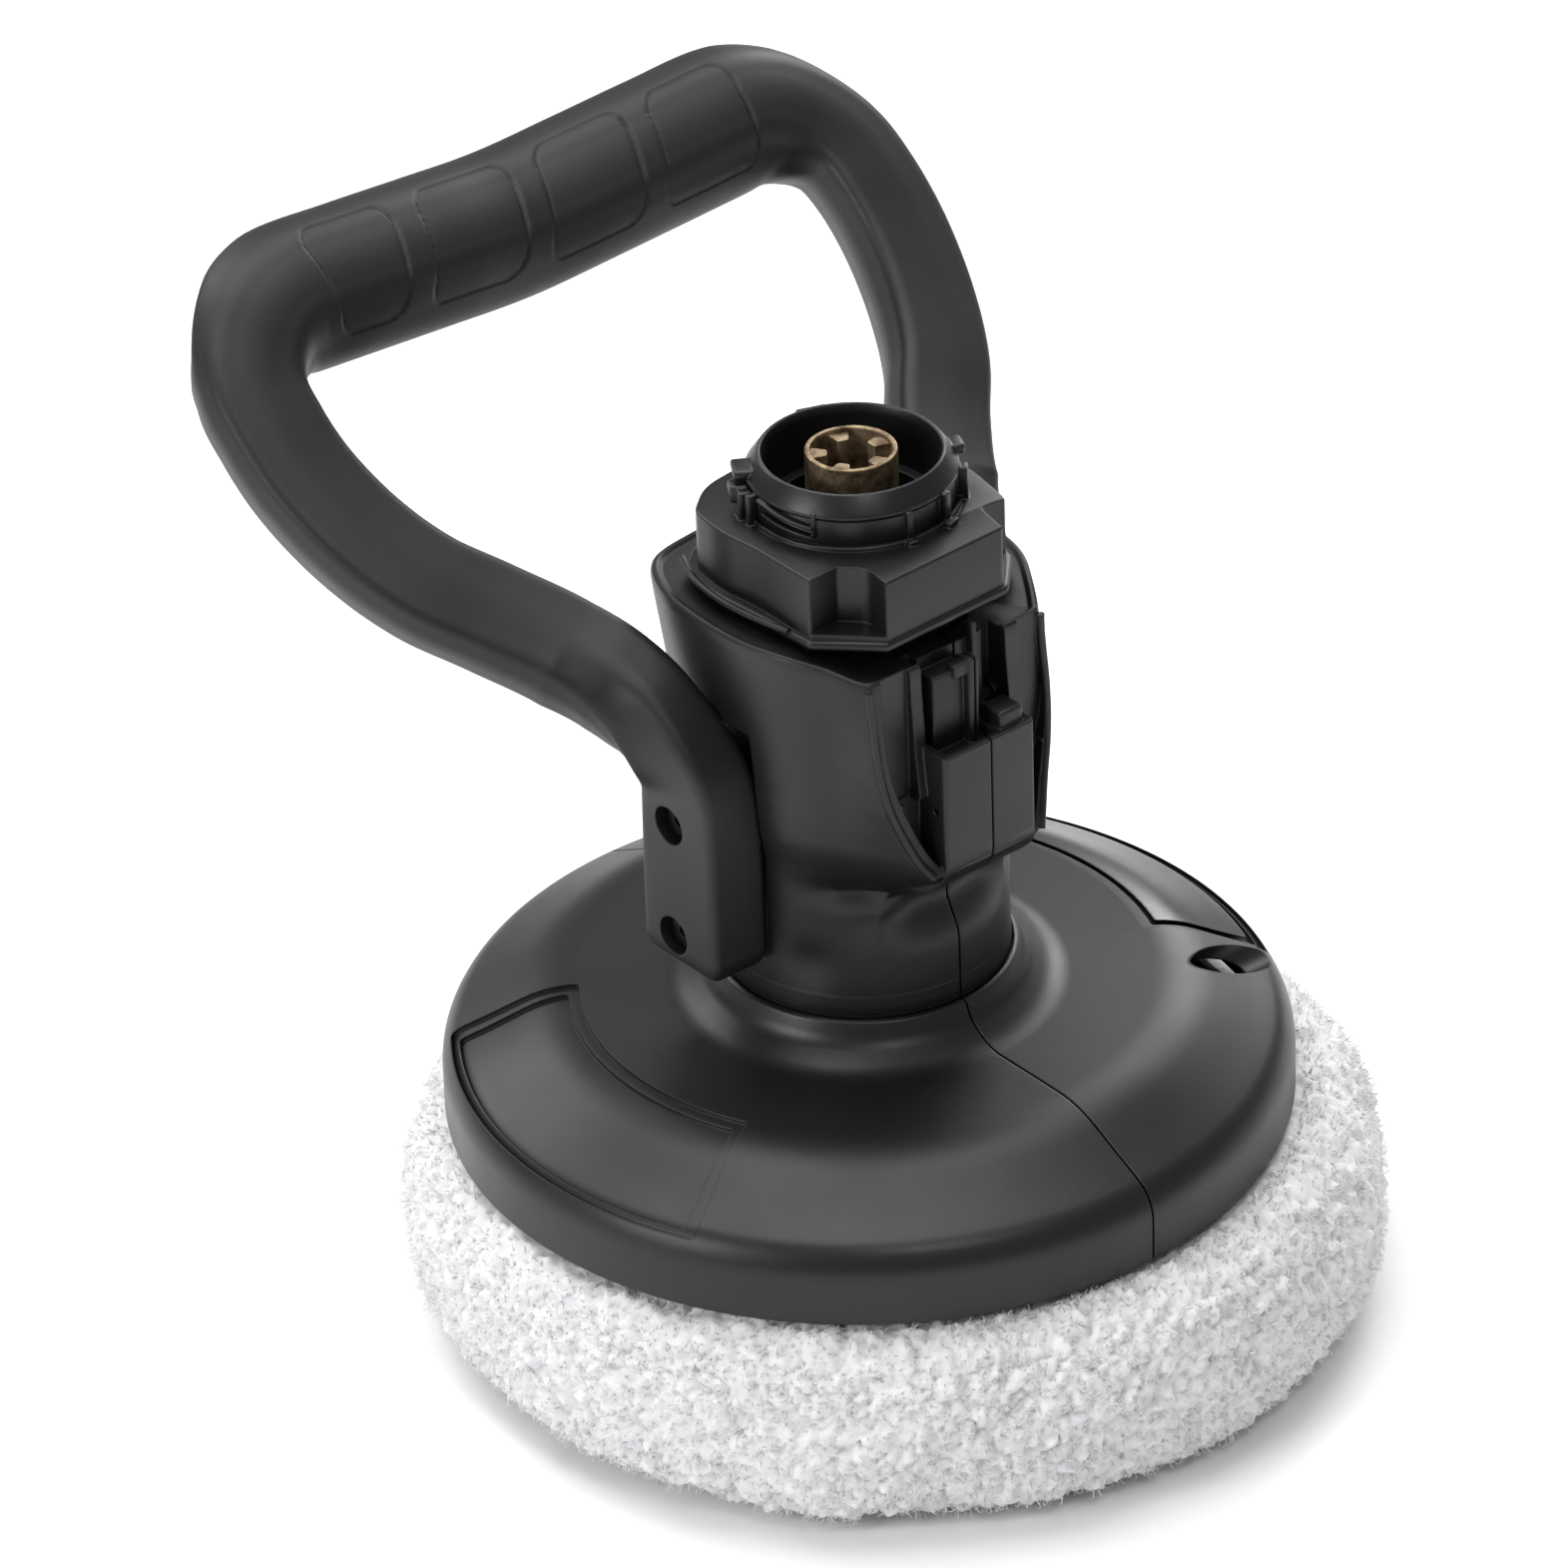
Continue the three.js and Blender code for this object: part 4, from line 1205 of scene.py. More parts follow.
            made.append(self.lug(60 * k + 20, (10.0, -0.5, 165.5), (15.9, 0.5, 170.6), 0.15))
        return made

    def build(self) -> None:
        """Makes the coupler and the socket and reports them."""
        body = self.body()
        hole = rod("ring_hole", self.ring_skirt - 2.2, (0, 0, 159.5), (0, 0, 200), 160)
        work(body, hole)
        knots = [(-24.5, 21.0), (-27.6, 14.0), (-29.2, 4.0), (-28.6, -6.0), (-27.2, -13.4)]
        bead_path = catmull([Vector((x, y, self.base_z + 1.9)) for x, y in knots], False, 10)
        spigot = rounded(
            [
                (23.4, 151.2), (23.4, 159.0), (14.6, 159.0),
                (14.6, 156.0), (13.2, 156.0), (13.2, 151.2),
            ],
            0.4,
            3,
        )
        parts = [
            body,
            self.ring(),
            spun("spigot", spigot, 96),
            tube_along("flange_bead", bead_path, 1.3),
            *self.details(),
        ]
        coupler = join(parts, "bayonet_coupler")
        smooth(coupler, 34)
        self.finishes.dress(coupler, COUPLER)
        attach(coupler, "housing")
        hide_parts("coupler_body")
        LOG.info("%s: %d faces", coupler.name, len(coupler.data.polygons))
        self.socket()

    def socket(self) -> None:
        """Drive socket: a sintered sleeve with five internal teeth set below its rim."""
        top = 183.2
        r, bore = self.socket_r, self.socket_bore
        wall = rounded(
            [
                (r - 0.4, 160.5, 0.3),
                (r, 161.5, 0.4),
                (r, top, 0.4),
                (bore, top, 0.4),
                (bore, 168.0, 0.2),
                (4.3, 168.0, 0.2),
                (4.3, 160.5, 0.3),
            ],
            0.4,
            4,
        )
        sleeve = spun("sleeve", wall, 120)
        teeth = []
        for k in range(self.teeth):
            angle = 68.6 + 360 * k / self.teeth
            outline = rounded([(4.5, -1.1, 0.5), (4.5, 1.1, 0.5), (8.2, 2.2), (8.2, -2.2)], 0.2, 4)
            tooth = prism("tooth", outline, 168.6, top - 0.9)
            bevel(tooth, 0.35, 3, 60)
            tooth.data.transform(Matrix.Rotation(math.radians(angle), 4, "Z"))
            teeth.append(tooth)
        socket = join([sleeve, *teeth], "splined_socket")
        smooth(socket, 34)
        self.finishes.dress(socket, SINTERED)
        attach(socket, "input")
        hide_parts("drive_socket")
        LOG.info("%s: %d faces", socket.name, len(socket.data.polygons))


# --------------------------------------------------------------------------- handle
@dataclass(frozen=True)
class Station:
    """A point of the ridge along the bar's top, and the section there.

    kind runs from the foot's section (0) to the arm's (1) and the grip's (2). tilt is
    how far the top of the section faces up from straight forward, in degrees.
    """

    at: Triple
    kind: float
    tilt: float


@dataclass
class Handle:
    """Bail handle: one bar from foot to foot with a grip in the middle."""

    finishes: Finishes
    loop_tilt: float = 49.5
    foot_outer: float = 41.0
    seat_depth: float = 5.4
    screw_y: float = 7.3
    screw_z: Pair = (89.7, 114.3)
    sections: tuple[list[Pair], ...] = (
        [(0, 0), (0, -21.2), (-4.2, -21.2), (-8.5, -21.2), (-12.7, -21.2)]
        + [(-12.7, -10), (-12.7, 0)],
        [(0, 0), (8.3, -1.8), (9.3, -7.5), (6.3, -16.1), (-8.3, -17.6), (-11.8, -7.8), (-10.5, 0)],
        [(0, 0), (9.7, -2.2), (16.4, -10.3), (9.3, -24.4), (-9.6, -25.8)]
        + [(-16.1, -14.1), (-9.4, -1.1)],
    )
    softening: Triple = (0.12, 0.3, 0.42)

    def ridge(self) -> list[Station]:
        """Stations from the right foot up to the middle of the grip."""
        loop = self.loop_tilt
        return [
            Station((41, -5.2, 84.5), 0, 0),
            Station((41, -5.2, 104), 0, 0),
            Station((41, -5.2, 119), 0, 0),
            Station((41.6, -4.3, 125.6), 0.12, 8),
            Station((43.2, -1, 133.6), 0.32, 22),
            Station((43.9, 6.6, 141.8), 0.6, 38),
            Station((45.1, 16.3, 146.9), 0.85, 50),
            Station((48.4, 25.2, 150.7), 1, 56),
            Station((56.5, 36.4, 156.3), 1, 54),
            Station((64.5, 45.5, 161.9), 1, 52),
            Station((70.4, 56.2, 169.1), 1, loop),
            Station((74.1, 68.4, 178.3), 1, loop),
            Station((74.7, 77.6, 185.9), 1, loop),
            Station((73.6, 84.3, 191.5), 1.05, loop),
            Station((69.5, 89.2, 196.3), 1.35, loop),
            Station((63.4, 92.3, 200.5), 1.75, loop),
            Station((55.3, 93.8, 202.6), 2, loop),
            Station((38, 94.1, 201.9), 2, loop),
            Station((18, 94.8, 200.3), 2, loop),
            Station((0, 95.8, 198.8), 2, loop),
        ]

    def section(self, kind: float, steps: int = 7) -> list[Pair]:
        """Section outline as (outward, up) from the ridge.

        Args:
            kind: 0 for the foot, 1 for the arm, 2 for the grip.
            steps: Lengths in each rounded corner.

        Returns:
            Points of the outline, corner by corner.
        """
        low = min(1, math.floor(kind))
        share = kind - low
        corners = []
        for (ua, na), (ub, nb) in zip(self.sections[low], self.sections[low + 1]):
            corners.append(Vector((ua + (ub - ua) * share, na + (nb - na) * share)))
        soft = self.softening[low] + (self.softening[low + 1] - self.softening[low]) * share
        out: list[Pair] = []
        count = len(corners)
        for i, here in enumerate(corners):
            ahead = corners[(i + 1) % count]
            start = here.lerp(corners[i - 1], soft)
            end = here.lerp(ahead, soft)
            top = i in (0, 1, 6)
            arc = steps * 2 if top else steps
            for k in range(arc + 1):
                t = k / arc
                spot = start * (1 - t) ** 2 + here * 2 * t * (1 - t) + end * t**2
                out.append((spot.x, spot.y))
            straight = 12 if i in (0, 5, 6) else 3
            for k in range(1, straight):
                spot = end.lerp(ahead.lerp(here, soft), k / straight)
                out.append((spot.x, spot.y))
        return out

    def panel_depth(self, along: float, across: float) -> float:
        """How deep the grip's skin is let in at a spot on its top.

        Args:
            along: Distance from the grip's middle along X.
            across: Distance up the top of the grip, from -13 to 6.6.

        Returns:
            Depth in millimetres: a fine groove round each panel, and a little inside it.
        """
        fall = (6.6 - across) / 19.6
        edges = [-50.5, -29.5, -22.5, 0.5, 7.0, 28.0, 33.8, 53.0]
        leans = [0.5, -5.5, -5.5, -6.0, -6.0, -6.0, -6.0, -1.0]
        depth = 0.0
        sides = zip(edges[::2], edges[1::2], leans[::2], leans[1::2])
        for left, right, lean_left, lean_right in sides:
            a = along - (left + lean_left * fall)
            b = (right + lean_right * fall) - along
            c, d = 6.6 - across, across + 13.0
            reach = self.corner_reach(min(a, b), min(c, d), 3.2)
            groove = max(0.0, 1.0 - abs(reach) / 0.6)
            depth = max(depth, 0.6 * groove, 0.3 * smooth_step(-0.2, 0.5, reach))
        return depth

    def corner_reach(self, a: float, b: float, radius: float) -> float:
        """Distance inside a rounded corner, from the distances inside its two sides."""
        if a < radius and b < radius:
            return radius - math.hypot(radius - a, radius - b)
        return min(a, b)

    def rings(self, side: int) -> list[list[Vector]]:
        """Rings of the right half, from the foot to the middle of the grip.

        Args:
            side: Side the rings are for, since the grip's panels lean one way.

        Returns:
            Rings of points.
        """
        stations = self.ridge()
        places: list[tuple[float, Vector]] = []
        for i in range(len(stations) - 1):
            each = 44 if stations[i].kind > 1.7 else 12
            beyond = Vector(stations[-2].at) * Vector((-1, 1, 1))
            around = [*(Vector(s.at) for s in stations), beyond]
            first, last = max(0, i - 1), min(len(around), i + 3)
            curve = catmull(around[first:last], False, each)
            start = (i - first) * each
            places += [(i + k / each, curve[start + k]) for k in range(each)]
        places.append((len(stations) - 1.0, Vector(stations[-1].at)))
        heading = self.heading([spot for _, spot in places])
        rings = []
        for i, (along, spot) in enumerate(places):
            low = min(len(stations) - 2, math.floor(along))
            share = along - low
            a, b = stations[low], stations[low + 1]
            kind = a.kind + (b.kind - a.kind) * share
            tilt = math.radians(a.tilt + (b.tilt - a.tilt) * share)
            ahead = heading[i]
            up = Vector((0, -math.cos(tilt), math.sin(tilt)))
            up = (up - ahead * up.dot(ahead)).normalized()
            outward = ahead.cross(up).normalized()
            tuck = 0.93 + 0.07 * min(1.0, along * 16)
            ring = []
            for u, n in self.section(kind):
                across = 0.866 * u + 0.355 * n
                sink = 0.0
                if kind > 1.75 and -14 < across < 8 and n > -10:
                    sink = self.panel_depth(side * spot.x, across)
                out_u, out_n = (u + 6.35) * tuck - 6.35, (n + 10.6) * tuck - 10.6
                pressed = Vector((out_u, out_n - sink)) if along < 1 else Vector((u, n - sink))
                ring.append(spot + outward * pressed.x + up * pressed.y)
            rings.append(ring)
        self.untangle(rings)
        self.relax(rings, [along for along, _ in places])
        return rings

    def heading(self, path: list[Vector], reach: float = 7.0) -> list[Vector]:
        """Direction of the bar at each place, with its turns spread over a reach.

        Args:
            path: Places along the bar, ending at its middle.
            reach: Distance on either side that a turn is spread over.

        Returns:
            Unit directions.
        """
        count = len(path)
        steps = [(path[min(i + 1, count - 1)] - path[i]) for i in range(count)]
        run = np.concatenate([[0.0], np.cumsum([step.length for step in steps])])[:count]
        turns = []
        for i in range(count):
            near = min(reach, run[i] * 0.9, (run[-1] - run[i]) * 0.9)
            total = Vector((0, 0, 0))
            for j in range(count - 1):
                off = abs(run[j] - run[i])
                if off <= near or j == i:
                    share = 1.001 - off / (near + 0.001)
                    total += steps[j].normalized() * steps[j].length * share
            turns.append(total.normalized() if i < count - 1 else Vector((-1, 0, 0)))
        return turns

    def untangle(self, rings: list[list[Vector]], rounds: int = 60) -> None:
        """Relaxes the places where rings cross on the inside of a tight turn."""
        grid = np.array([[tuple(p) for p in ring] for ring in rings])
        for _ in range(rounds):
            flow = grid.mean(axis=1)
            ahead = np.gradient(flow, axis=0)
            ahead /= np.linalg.norm(ahead, axis=1, keepdims=True)
            step = np.einsum("ijk,ik->ij", np.diff(grid, axis=0), ahead[:-1])
            tight = np.zeros(grid.shape[:2], dtype=bool)
            low = step < 0.08
            if not low.any():
                break
            for shift in range(-3, 5):
                tight[max(0, shift) : len(grid) + min(0, shift - 1)] |= low[
                    max(0, -shift) : len(low) - max(0, shift - 1)
                ][: len(grid)]
            tight[0] = tight[-1] = False
            mean = grid.copy()
            mean[1:-1] = (grid[:-2] + grid[1:-1] + grid[2:]) / 3
            grid[tight] = mean[tight]
        for ring, row in zip(rings, grid):
            ring[:] = [Vector(p) for p in row]

    def relax(self, rings: list[list[Vector]], along: list[float], rounds: int = 400) -> None:
        """Fillets the inside of the grip's corners and the bend above the foot.

        Args:
            rings: Rings of points, changed in place.
            along: Station number of each ring.
            rounds: Smoothing rounds at the grip.
        """
        grid = np.array([[tuple(p) for p in ring] for ring in rings])
        last = along[-1]
        kinds = [s.kind for s in self.ridge()]
        first = next(i for i, kind in enumerate(kinds) if kind > 1.7)
        inner = np.array([smooth_step(-8.0, -14.0, n) for _, n in self.section(2.0)])
        ramp = [
            smooth_step(first - 1.7, first - 0.4, a) * smooth_step(last - 1.0, last - 1.5, a)
            for a in along
        ]
        grip = np.array(ramp)[:, None, None] * inner[None, :, None]
        foot = np.array([smooth_step(0.6, 1.4, a) * smooth_step(5.5, 4.5, a) for a in along])
        for k in range(rounds):
            weight = grip if k >= 44 else np.maximum(grip, foot[:, None, None])
            mean = (grid[:-2] + grid[1:-1] + grid[2:]) / 3
            grid[1:-1] += (mean - grid[1:-1]) * weight[1:-1]
        for ring, row in zip(rings, grid):
            ring[:] = [Vector(p) for p in row]

    def build(self) -> None:
        """Makes the handle with its screw wells and reports it."""
        right = self.rings(1)
        left = [[Vector((-p.x, p.y, p.z)) for p in ring] for ring in reversed(self.rings(-1)[:-1])]
        bar = loft("bail_handle", [*right, *left])
        for side in (-1, 1):
            for z in self.screw_z:
                seat = self.foot_outer - self.seat_depth
                near = (side * seat, self.screw_y, z)
                work(bar, rod("well", 4.0, near, (side * 60, self.screw_y, z), 64))
        smooth(bar, 40)
        self.finishes.dress(bar, GRIP)
        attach(bar, "housing")
        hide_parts("handle")
        LOG.info("%s: %d faces", bar.name, len(bar.data.polygons))


# ------------------------------------------------------------------------ pad stack
@dataclass
class PadStack:
    """Foam pad and the fleece bonnet drawn over it."""

    finishes: Finishes
    centre: Pair = (3.55, -2.92)
    seed: int = 7
    tuft_spacing: float = 3.7
    tuft_height: float = 2.3
    fibres: int = 15000

    def bonnet_profile(self) -> list[Pair]:
        """Outside of the bonnet from the middle of its face up to its hem, then inside."""
        corners = [
            (0.0, 0.8),
            (80.0, 0.8, 12.0),
            (89.5, 3.6, 8.0),
            (94.6, 11.5, 8.0),
            (95.4, 21.5, 8.0),
            (92.2, 31.5, 6.0),
            (86.4, 38.0, 4.0),
            (80.0, 40.0, 1.5),
            (75.8, 39.6, 0.4),
        ]
        return rounded([*corners, (0.0, 39.0)], 1.0, 6)[1:-8]

    def skin_grid(self) -> np.ndarray:
        """Even grid of points on the bonnet's skin, in rows from the face's middle to the hem."""
        corners = [(c[0], c[1]) for c in self.bonnet_profile()]
        path = [Vector((0.5, 0.8))]
        for p in corners:
            spot = Vector(p)
            if (spot - path[-1]).length < 0.3:
                continue
            steps = max(1, round((spot - path[-1]).length / 0.7))
            start = path[-1].copy()
            path += [start.lerp(spot, (k + 1) / steps) for k in range(steps)]
        around = 760
        points = np.zeros((len(path), around, 3))
        angle = 2 * np.pi * np.arange(around) / around
        for i, p in enumerate(path):
            points[i, :, 0] = p.x * np.cos(angle)
            points[i, :, 1] = p.x * np.sin(angle)
            points[i, :, 2] = p.y
        return points

    def build(self) -> None:
        """Makes the foam and the bonnet and reports them."""
        self.foam()
        self.bonnet()

    def foam(self) -> None:
        """Foam pad with a rounded working edge."""
        profile = rounded(
            [
                (0.01, 10.2, 0.0),
                (71.0, 10.2, 5.0),
                (77.4, 16.0, 6.0),
                (77.4, 26.0, 3.0),
                (75.0, 30.8, 1.5),
                (9.2, 30.8, 0.5),
                (9.2, 26.2, 0.5),
                (0.01, 26.2, 0.0),
            ],
            1.0,
            5,
        )
        foam = spun("foam_disc", profile, 128, self.centre)
        smooth(foam, 40)
        self.finishes.dress(foam, FOAM)
        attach(foam, "pad")
        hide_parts("foam_pad")
        LOG.info("%s: %d faces", foam.name, len(foam.data.polygons))

    def bonnet(self) -> None:
        """Fleece bonnet: tufts pushed out of a rounded skin, and a turned-in hem."""
        points = self.skin_grid()
        rows, around = points.shape[:2]
        # Blender starts its noise from the clock unless it is given a seed.
        noise.seed_set(self.seed)
        rng = np.random.default_rng(self.seed)
        seeds = self.scatter(points, rng)
        tree = kdtree.KDTree(len(seeds))
        for i, s in enumerate(seeds):
            tree.insert(Vector(s), i)
        tree.balance()
        size = rng.uniform(0.65, 1.25, len(seeds))
        along = np.gradient(points, axis=0)
        round_about = np.roll(points, -1, axis=1) - np.roll(points, 1, axis=1)
        normal = np.cross(round_about, along)
        normal /= np.maximum(np.linalg.norm(normal, axis=2, keepdims=True), 1e-9)
        if normal[rows // 2, 0, 0] < 0:
            normal = -normal
        out = points.copy()
        spacing = self.tuft_spacing
        for i in range(rows):
            fade = min(1.0, (rows - i) / 9)
            for j in range(around):
                spot = Vector(points[i, j])
                warp = noise.noise_vector(spot * 0.3) * 2.0
                near = tree.find_n(spot + warp, 2)
                first, second = near[0][2], near[1][2]
                edge = min(1.0, (second - first) / (0.55 * spacing))
                dome = math.sqrt(max(0.0, 1 - (first / (0.95 * spacing)) ** 2))
                lump = (0.5 * dome + 0.4 * edge**0.5) * size[near[0][1]]
                fine = noise.fractal(spot * 0.55, 0.55, 2.1, 5) * 0.95
                broad = noise.noise(spot * 0.05) * 1.8
                lift = (lump - 0.55) * self.tuft_height + fine + broad
                out[i, j] += normal[i, j] * lift * fade
        out[:, :, 2] = np.maximum(out[:, :, 2], 0.02)
        out[:, :, 0] += self.centre[0]
        out[:, :, 1] += self.centre[1]
        grid = out.reshape(-1, 3)
        faces = []
        for i in range(rows - 1):
            for j in range(around):
                k = (j + 1) % around
                low, high = i * around, (i + 1) * around
                faces.append((low + j, low + k, high + k, high + j))
        faces.append(tuple(range(around)))
        base = len(grid)
        inner = self.lining(around)
        flat = [tuple(p) for p in grid] + [tuple(p) for row in inner for p in row]
        last = (rows - 1) * around
        for r in range(len(inner)):
            upper = last if r == 0 else base + (r - 1) * around
            lower = base + r * around
            for j in range(around):
                k = (j + 1) % around
                faces.append((upper + j, upper + k, lower + k, lower + j))
        faces.append(tuple(base + (len(inner) - 1) * around + j for j in range(around)))
        spots, webs = self.curls(out, normal, rng)
        faces += [tuple(k + len(flat) for k in web) for web in webs]
        flat += spots
        fleece = piece_from("fleece_bonnet", flat, faces)
        close_up(fleece)
        smooth(fleece, 180)
        self.finishes.dress(fleece, FLEECE)
        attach(fleece, "pad")
        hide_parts("bonnet")
        LOG.info("%s: %d faces", fleece.name, len(fleece.data.polygons))

    def curls(
        self, skin: np.ndarray, normal: np.ndarray, rng: np.random.Generator
    ) -> tuple[list[Triple], list[tuple[int, ...]]]:
        """Loose curled fibres that stand out of the pile and blur its edge.

        Args:
            skin: Grid of points on the pile's surface.
            normal: Outward directions at those points.
            rng: Seeded random source.

        Returns:
            Points in millimetres and the faces of every fibre, each a thin closed tube.
        """
        rows, around = skin.shape[:2]
        reach = np.hypot(skin[:, 0, 0] - self.centre[0], skin[:, 0, 1] - self.centre[1])
        first = int(np.argmax(reach > 84))
        count, knots = self.fibres, 5
        i = rng.integers(first, rows - 6, count)
        j = rng.integers(0, around, count)
        root, out = skin[i, j], normal[i, j]
        side = rng.normal(size=(count, 3))
        side -= out * np.sum(side * out, axis=1, keepdims=True)
        side /= np.linalg.norm(side, axis=1, keepdims=True)
        third = np.cross(out, side)
        tall = rng.uniform(0.5, 1.9, (count, 1))
        wide = rng.uniform(0.4, 1.7, (count, 1))
        curl = rng.uniform(-0.8, 0.8, (count, 1))
        path = []
        for k in range(knots):
            t = k / (knots - 1)
            rise = tall * math.sin(t * 2.3) - 0.35
            path.append(root + out * rise + side * wide * t**1.5 + third * curl * math.sin(t * 3.0))
        points = np.zeros((count, knots, 3, 3))
        for k in range(knots):
            thick = 0.17 * (1 - 0.75 * k / (knots - 1))
            ahead = path[min(k + 1, knots - 1)] - path[max(k - 1, 0)]
            ahead /= np.linalg.norm(ahead, axis=1, keepdims=True)
            across = np.cross(ahead, third + out * 0.3)
            across /= np.linalg.norm(across, axis=1, keepdims=True)
            over = np.cross(ahead, across)
            for m in range(3):
                a = 2 * math.pi * m / 3
                points[:, k, m] = path[k] + (across * math.cos(a) + over * math.sin(a)) * thick
        points[..., 2] = np.clip(points[..., 2], 0.03, 41.4)
        webs: list[tuple[int, ...]] = []
        for n in range(count):
            base = n * knots * 3
            webs.append((base + 2, base + 1, base))
            for k in range(knots - 1):
                low = base + 3 * k
                for m in range(3):
                    after = (m + 1) % 3
                    webs.append((low + m, low + after, low + 3 + after, low + 3 + m))
            top = base + 3 * (knots - 1)
            webs.append((top, top + 1, top + 2))
        return [tuple(p) for p in points.reshape(-1, 3)], webs

    def lining(self, around: int) -> list[list[Triple]]:
        """Rings of the bonnet's inside, from the hem down to its floor."""
        rows = []
        for r, z in ((75.6, 38.4), (79.0, 35.0), (79.4, 24.0), (79.0, 14.0), (73.5, 9.6)):
            ring = []
            for j in range(around):
                a = 2 * math.pi * j / around
                ring.append((self.centre[0] + r * math.cos(a), self.centre[1] + r * math.sin(a), z))
            rows.append(ring)
        return rows

    def scatter(self, points: np.ndarray, rng: np.random.Generator) -> list[Triple]:
        """Spreads tuft centres evenly over the skin.

        Args:
            points: Grid of skin points, row by row.
            rng: Seeded random source.

        Returns:
            Tuft centres.
        """
        seeds: list[Triple] = []
        rows, around = points.shape[:2]
        step = self.tuft_spacing
        travelled = 0.0
        for i in range(1, rows):
            travelled += float(np.linalg.norm(points[i, 0] - points[i - 1, 0]))
            if travelled < step * 0.87:
                continue
            travelled = 0.0
            radius = float(np.hypot(points[i, 0, 0], points[i, 0, 1]))
            count = max(1, round(2 * math.pi * radius / step))
            start = rng.uniform(0, 1)
            for k in range(count):
                j = int(((k + start + rng.uniform(-0.32, 0.32)) / count) * around) % around
                row = min(rows - 1, max(0, i + int(rng.integers(-2, 3))))
                seeds.append(tuple(points[row, j]))
        return seeds


# ---------------------------------------------------------------------- inner pieces
class Inside:
    """Machined pieces inside the head, which keep their CAD shapes."""

    FINISH: dict[str, Plastic | Metal | Pile] = {
        "ring_gear": GEAR,
        "sun_gear": GEAR,
        "gearbox_plate": STEEL,
        "input_bearing": STEEL,
        "upper_bearing": STEEL,
        "lower_bearing": STEEL,
        "pad_bearing": STEEL,
        "felt_seal": FELT,
        "input_shaft": STEEL,
        "carrier": STEEL,
        "output_spindle": STEEL,
        "counterweight": CAST,
        "pad_hub": STEEL,
        "backing_plate": COUPLER,
        "pad_screw": BLACKED,
        "pad_washer": STEEL,
    }
    FAMILY: dict[str, Plastic | Metal | Pile] = {
        "planet_gear": GEAR,
        "planet_pin": STEEL,
        "handle_screw": BLACKED,
        "disc_screw": BLACKED,
        "neck_screw": BLACKED,
    }

    def __init__(self, finishes: Finishes) -> None:
        """Keeps the finishes to dress the pieces with."""
        self.finishes = finishes

    def build(self) -> None:
        """Dresses every CAD piece that stays."""
        for name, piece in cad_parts.items():
            finish = self.FINISH.get(name)
            for family, shared in self.FAMILY.items():
                if name.startswith(family):
                    finish = shared
            if finish is None:
                continue
            material = self.finishes.get(finish)
            for slot in piece.material_slots:
                slot.material = material
            LOG.info("%s: %s", name, finish.name)


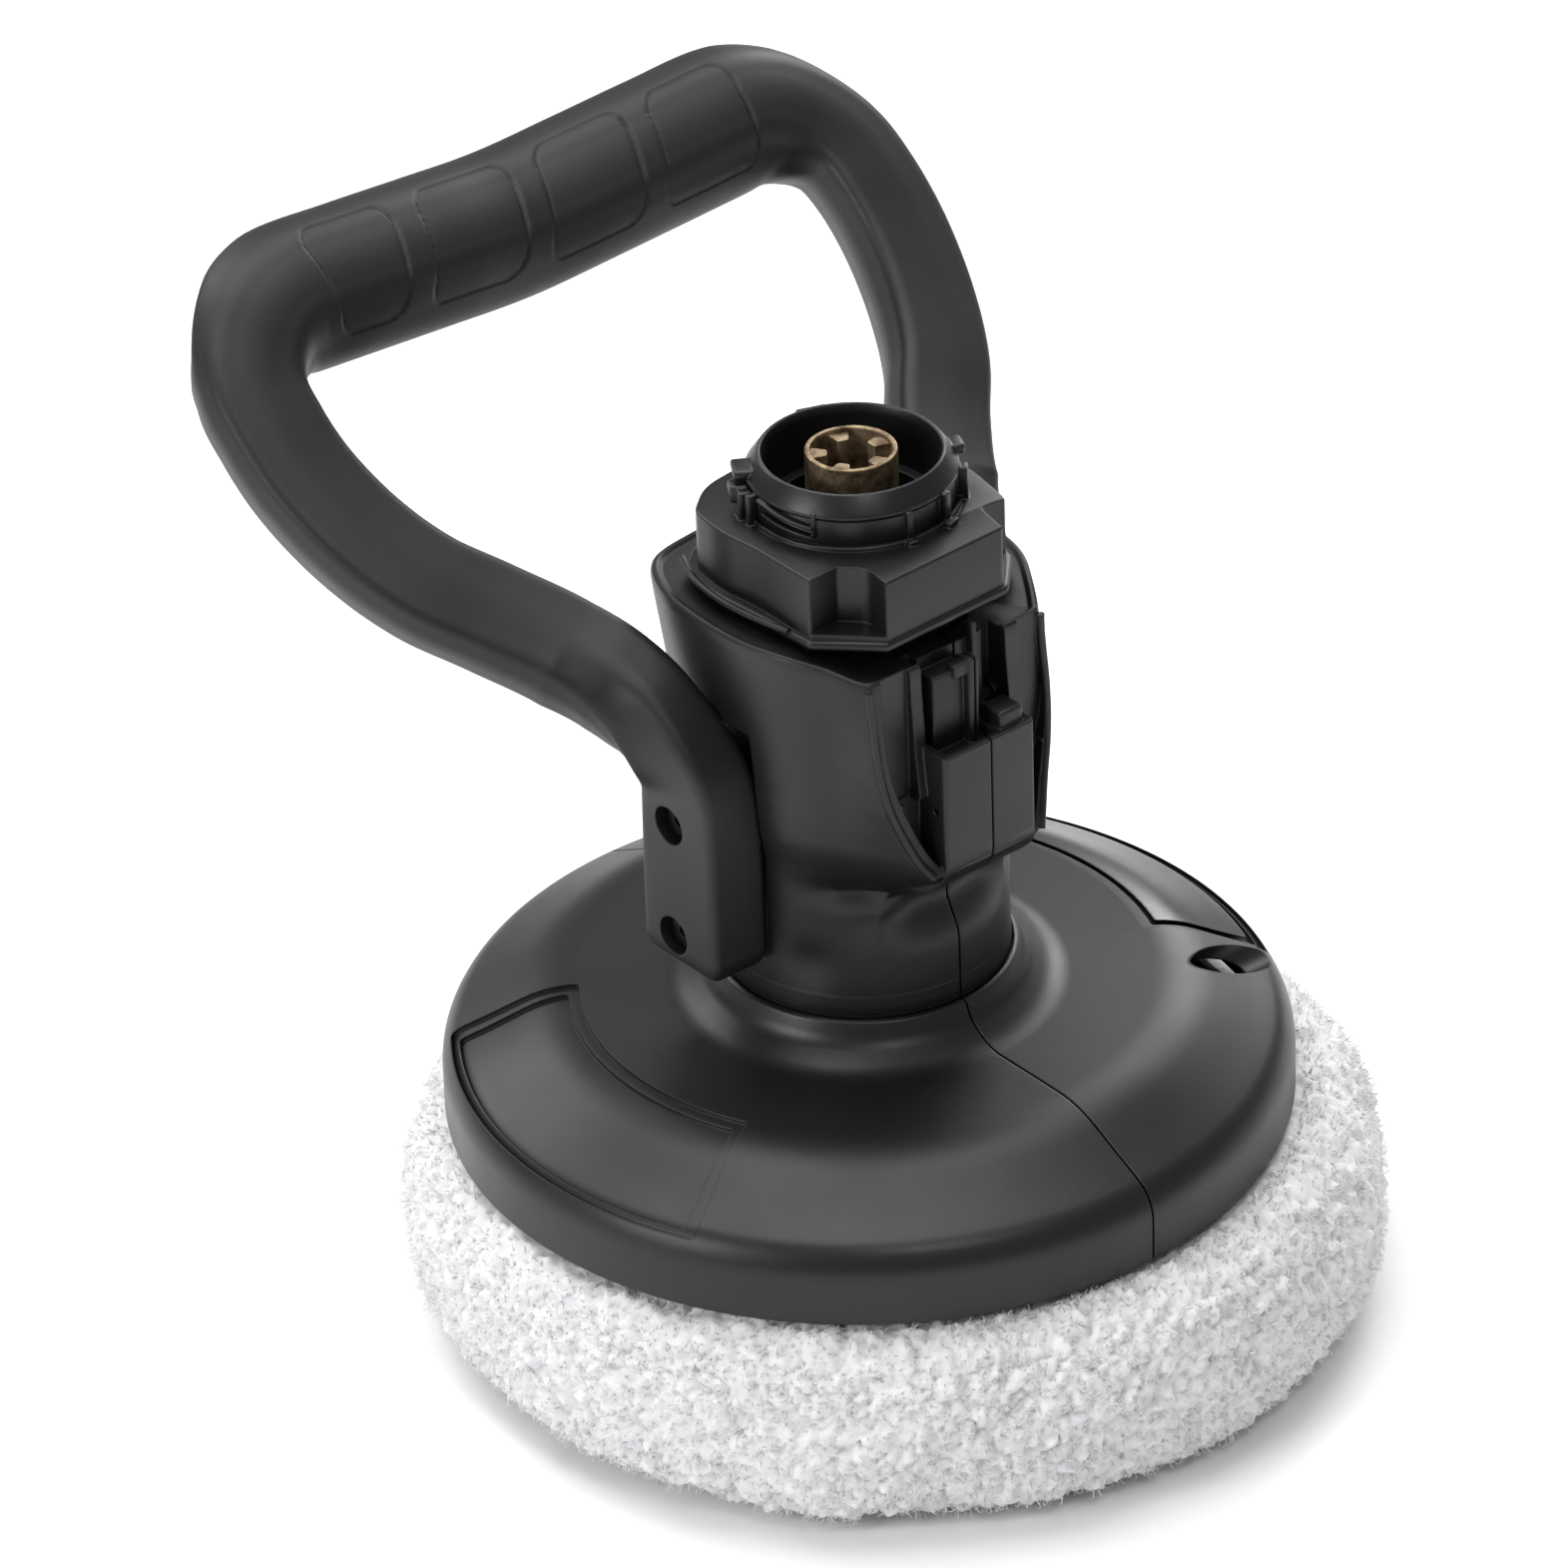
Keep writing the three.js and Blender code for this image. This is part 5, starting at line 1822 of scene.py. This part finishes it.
# --------------------------------------------------------------------------- studio
@dataclass
class Studio:
    """Pale floor, soft light and the camera."""

    lens: float = 206.742
    sensor: float = 36.0
    target_z: float = 42.0
    distance: float = 1748.1
    azimuth: float = -39.38
    elevation: float = 33.64
    pan: float = -0.49
    tilt: float = 1.90
    roll: float = -1.68

    def build(self) -> None:
        """Makes the floor, the lights and the camera."""
        self.camera()
        self.floor()
        self.lights()

    def camera(self) -> None:
        """Sets the camera by its place round the head and its small turns."""
        e, a = math.radians(self.elevation), math.radians(self.azimuth)
        ce, se = math.cos(e), math.sin(e)
        seat = Vector((0, -self.distance * ce, self.distance * se))
        ahead = Vector((0, ce, -se))
        right = Vector((1, 0, 0))
        up = right.cross(ahead)
        ahead = ahead + right * math.tan(math.radians(self.pan))
        ahead = (ahead + up * math.tan(math.radians(self.tilt))).normalized()
        right = ahead.cross(up).normalized()
        up = right.cross(ahead)
        cr, sr = math.cos(math.radians(self.roll)), math.sin(math.radians(self.roll))
        right, up = right * cr + up * sr, up * cr - right * sr
        basis = Matrix((right, up, -ahead)).transposed().to_4x4()
        spin = Matrix.Rotation(a, 4, "Z")
        seat = spin @ seat + Vector((0, 0, self.target_z))
        data = bpy.data.cameras.new("studio_camera")
        data.sensor_width = self.sensor
        data.lens = self.lens
        data.clip_start, data.clip_end = 0.05, 20
        eye = bpy.data.objects.new("studio_camera", data)
        eye.matrix_world = Matrix.Translation(seat * MM) @ spin @ basis
        bpy.context.scene.collection.objects.link(eye)
        bpy.context.scene.camera = eye

    def floor(self) -> None:
        """A wide pale floor under the bonnet."""
        deselect()
        bpy.ops.mesh.primitive_plane_add(size=12, location=(0, 0, 0))
        floor = bpy.context.object
        floor.name = "studio_floor"
        material, _, shader = new_material("studio_paper")
        shader.inputs["Base Color"].default_value = linear("#f6f6f6")
        shader.inputs["Roughness"].default_value = 0.9
        floor.data.materials.append(material)

    def light(self, name: str, place: Triple, size: float, power: float) -> None:
        """Adds one soft lamp aimed at the head.

        Args:
            name: Lamp name.
            place: Position in metres.
            size: Width in metres.
            power: Power in watts.
        """
        data = bpy.data.lights.new(name, "AREA")
        data.shape = "DISK"
        data.size = size
        data.energy = power
        lamp = bpy.data.objects.new(name, data)
        lamp.location = place
        aim = Vector((0, 0, 0.1)) - Vector(place)
        lamp.rotation_euler = aim.to_track_quat("-Z", "Y").to_euler()
        bpy.context.scene.collection.objects.link(lamp)

    def lights(self) -> None:
        """White surroundings, a big top light and softer sides."""
        world = bpy.data.worlds.new("studio_world")
        world.use_nodes = True
        backdrop = world.node_tree.nodes["Background"]
        backdrop.inputs["Color"].default_value = linear("#ffffff")
        backdrop.inputs["Strength"].default_value = 0.3
        bpy.context.scene.world = world
        bpy.context.scene.view_settings.view_transform = "Standard"
        self.light("top_light", (0.15, 0.5, 2.2), 2.2, 45)
        self.light("front_light", (-0.5, -1.5, 2.3), 0.5, 10)
        self.light("back_light", (-0.2, 1.5, 1.1), 0.9, 9)
        self.light("left_light", (-1.7, 0.1, 0.9), 0.8, 14)
        self.light("right_light", (1.3, 0.7, 0.8), 0.7, 10)


def main() -> None:
    """Builds the head in order."""
    finishes = Finishes()
    Studio().build()
    Housing(finishes).build()
    Coupler(finishes).build()
    Handle(finishes).build()
    PadStack(finishes).build()
    Inside(finishes).build()
    deselect()


if __name__ == "__main__":
    main()
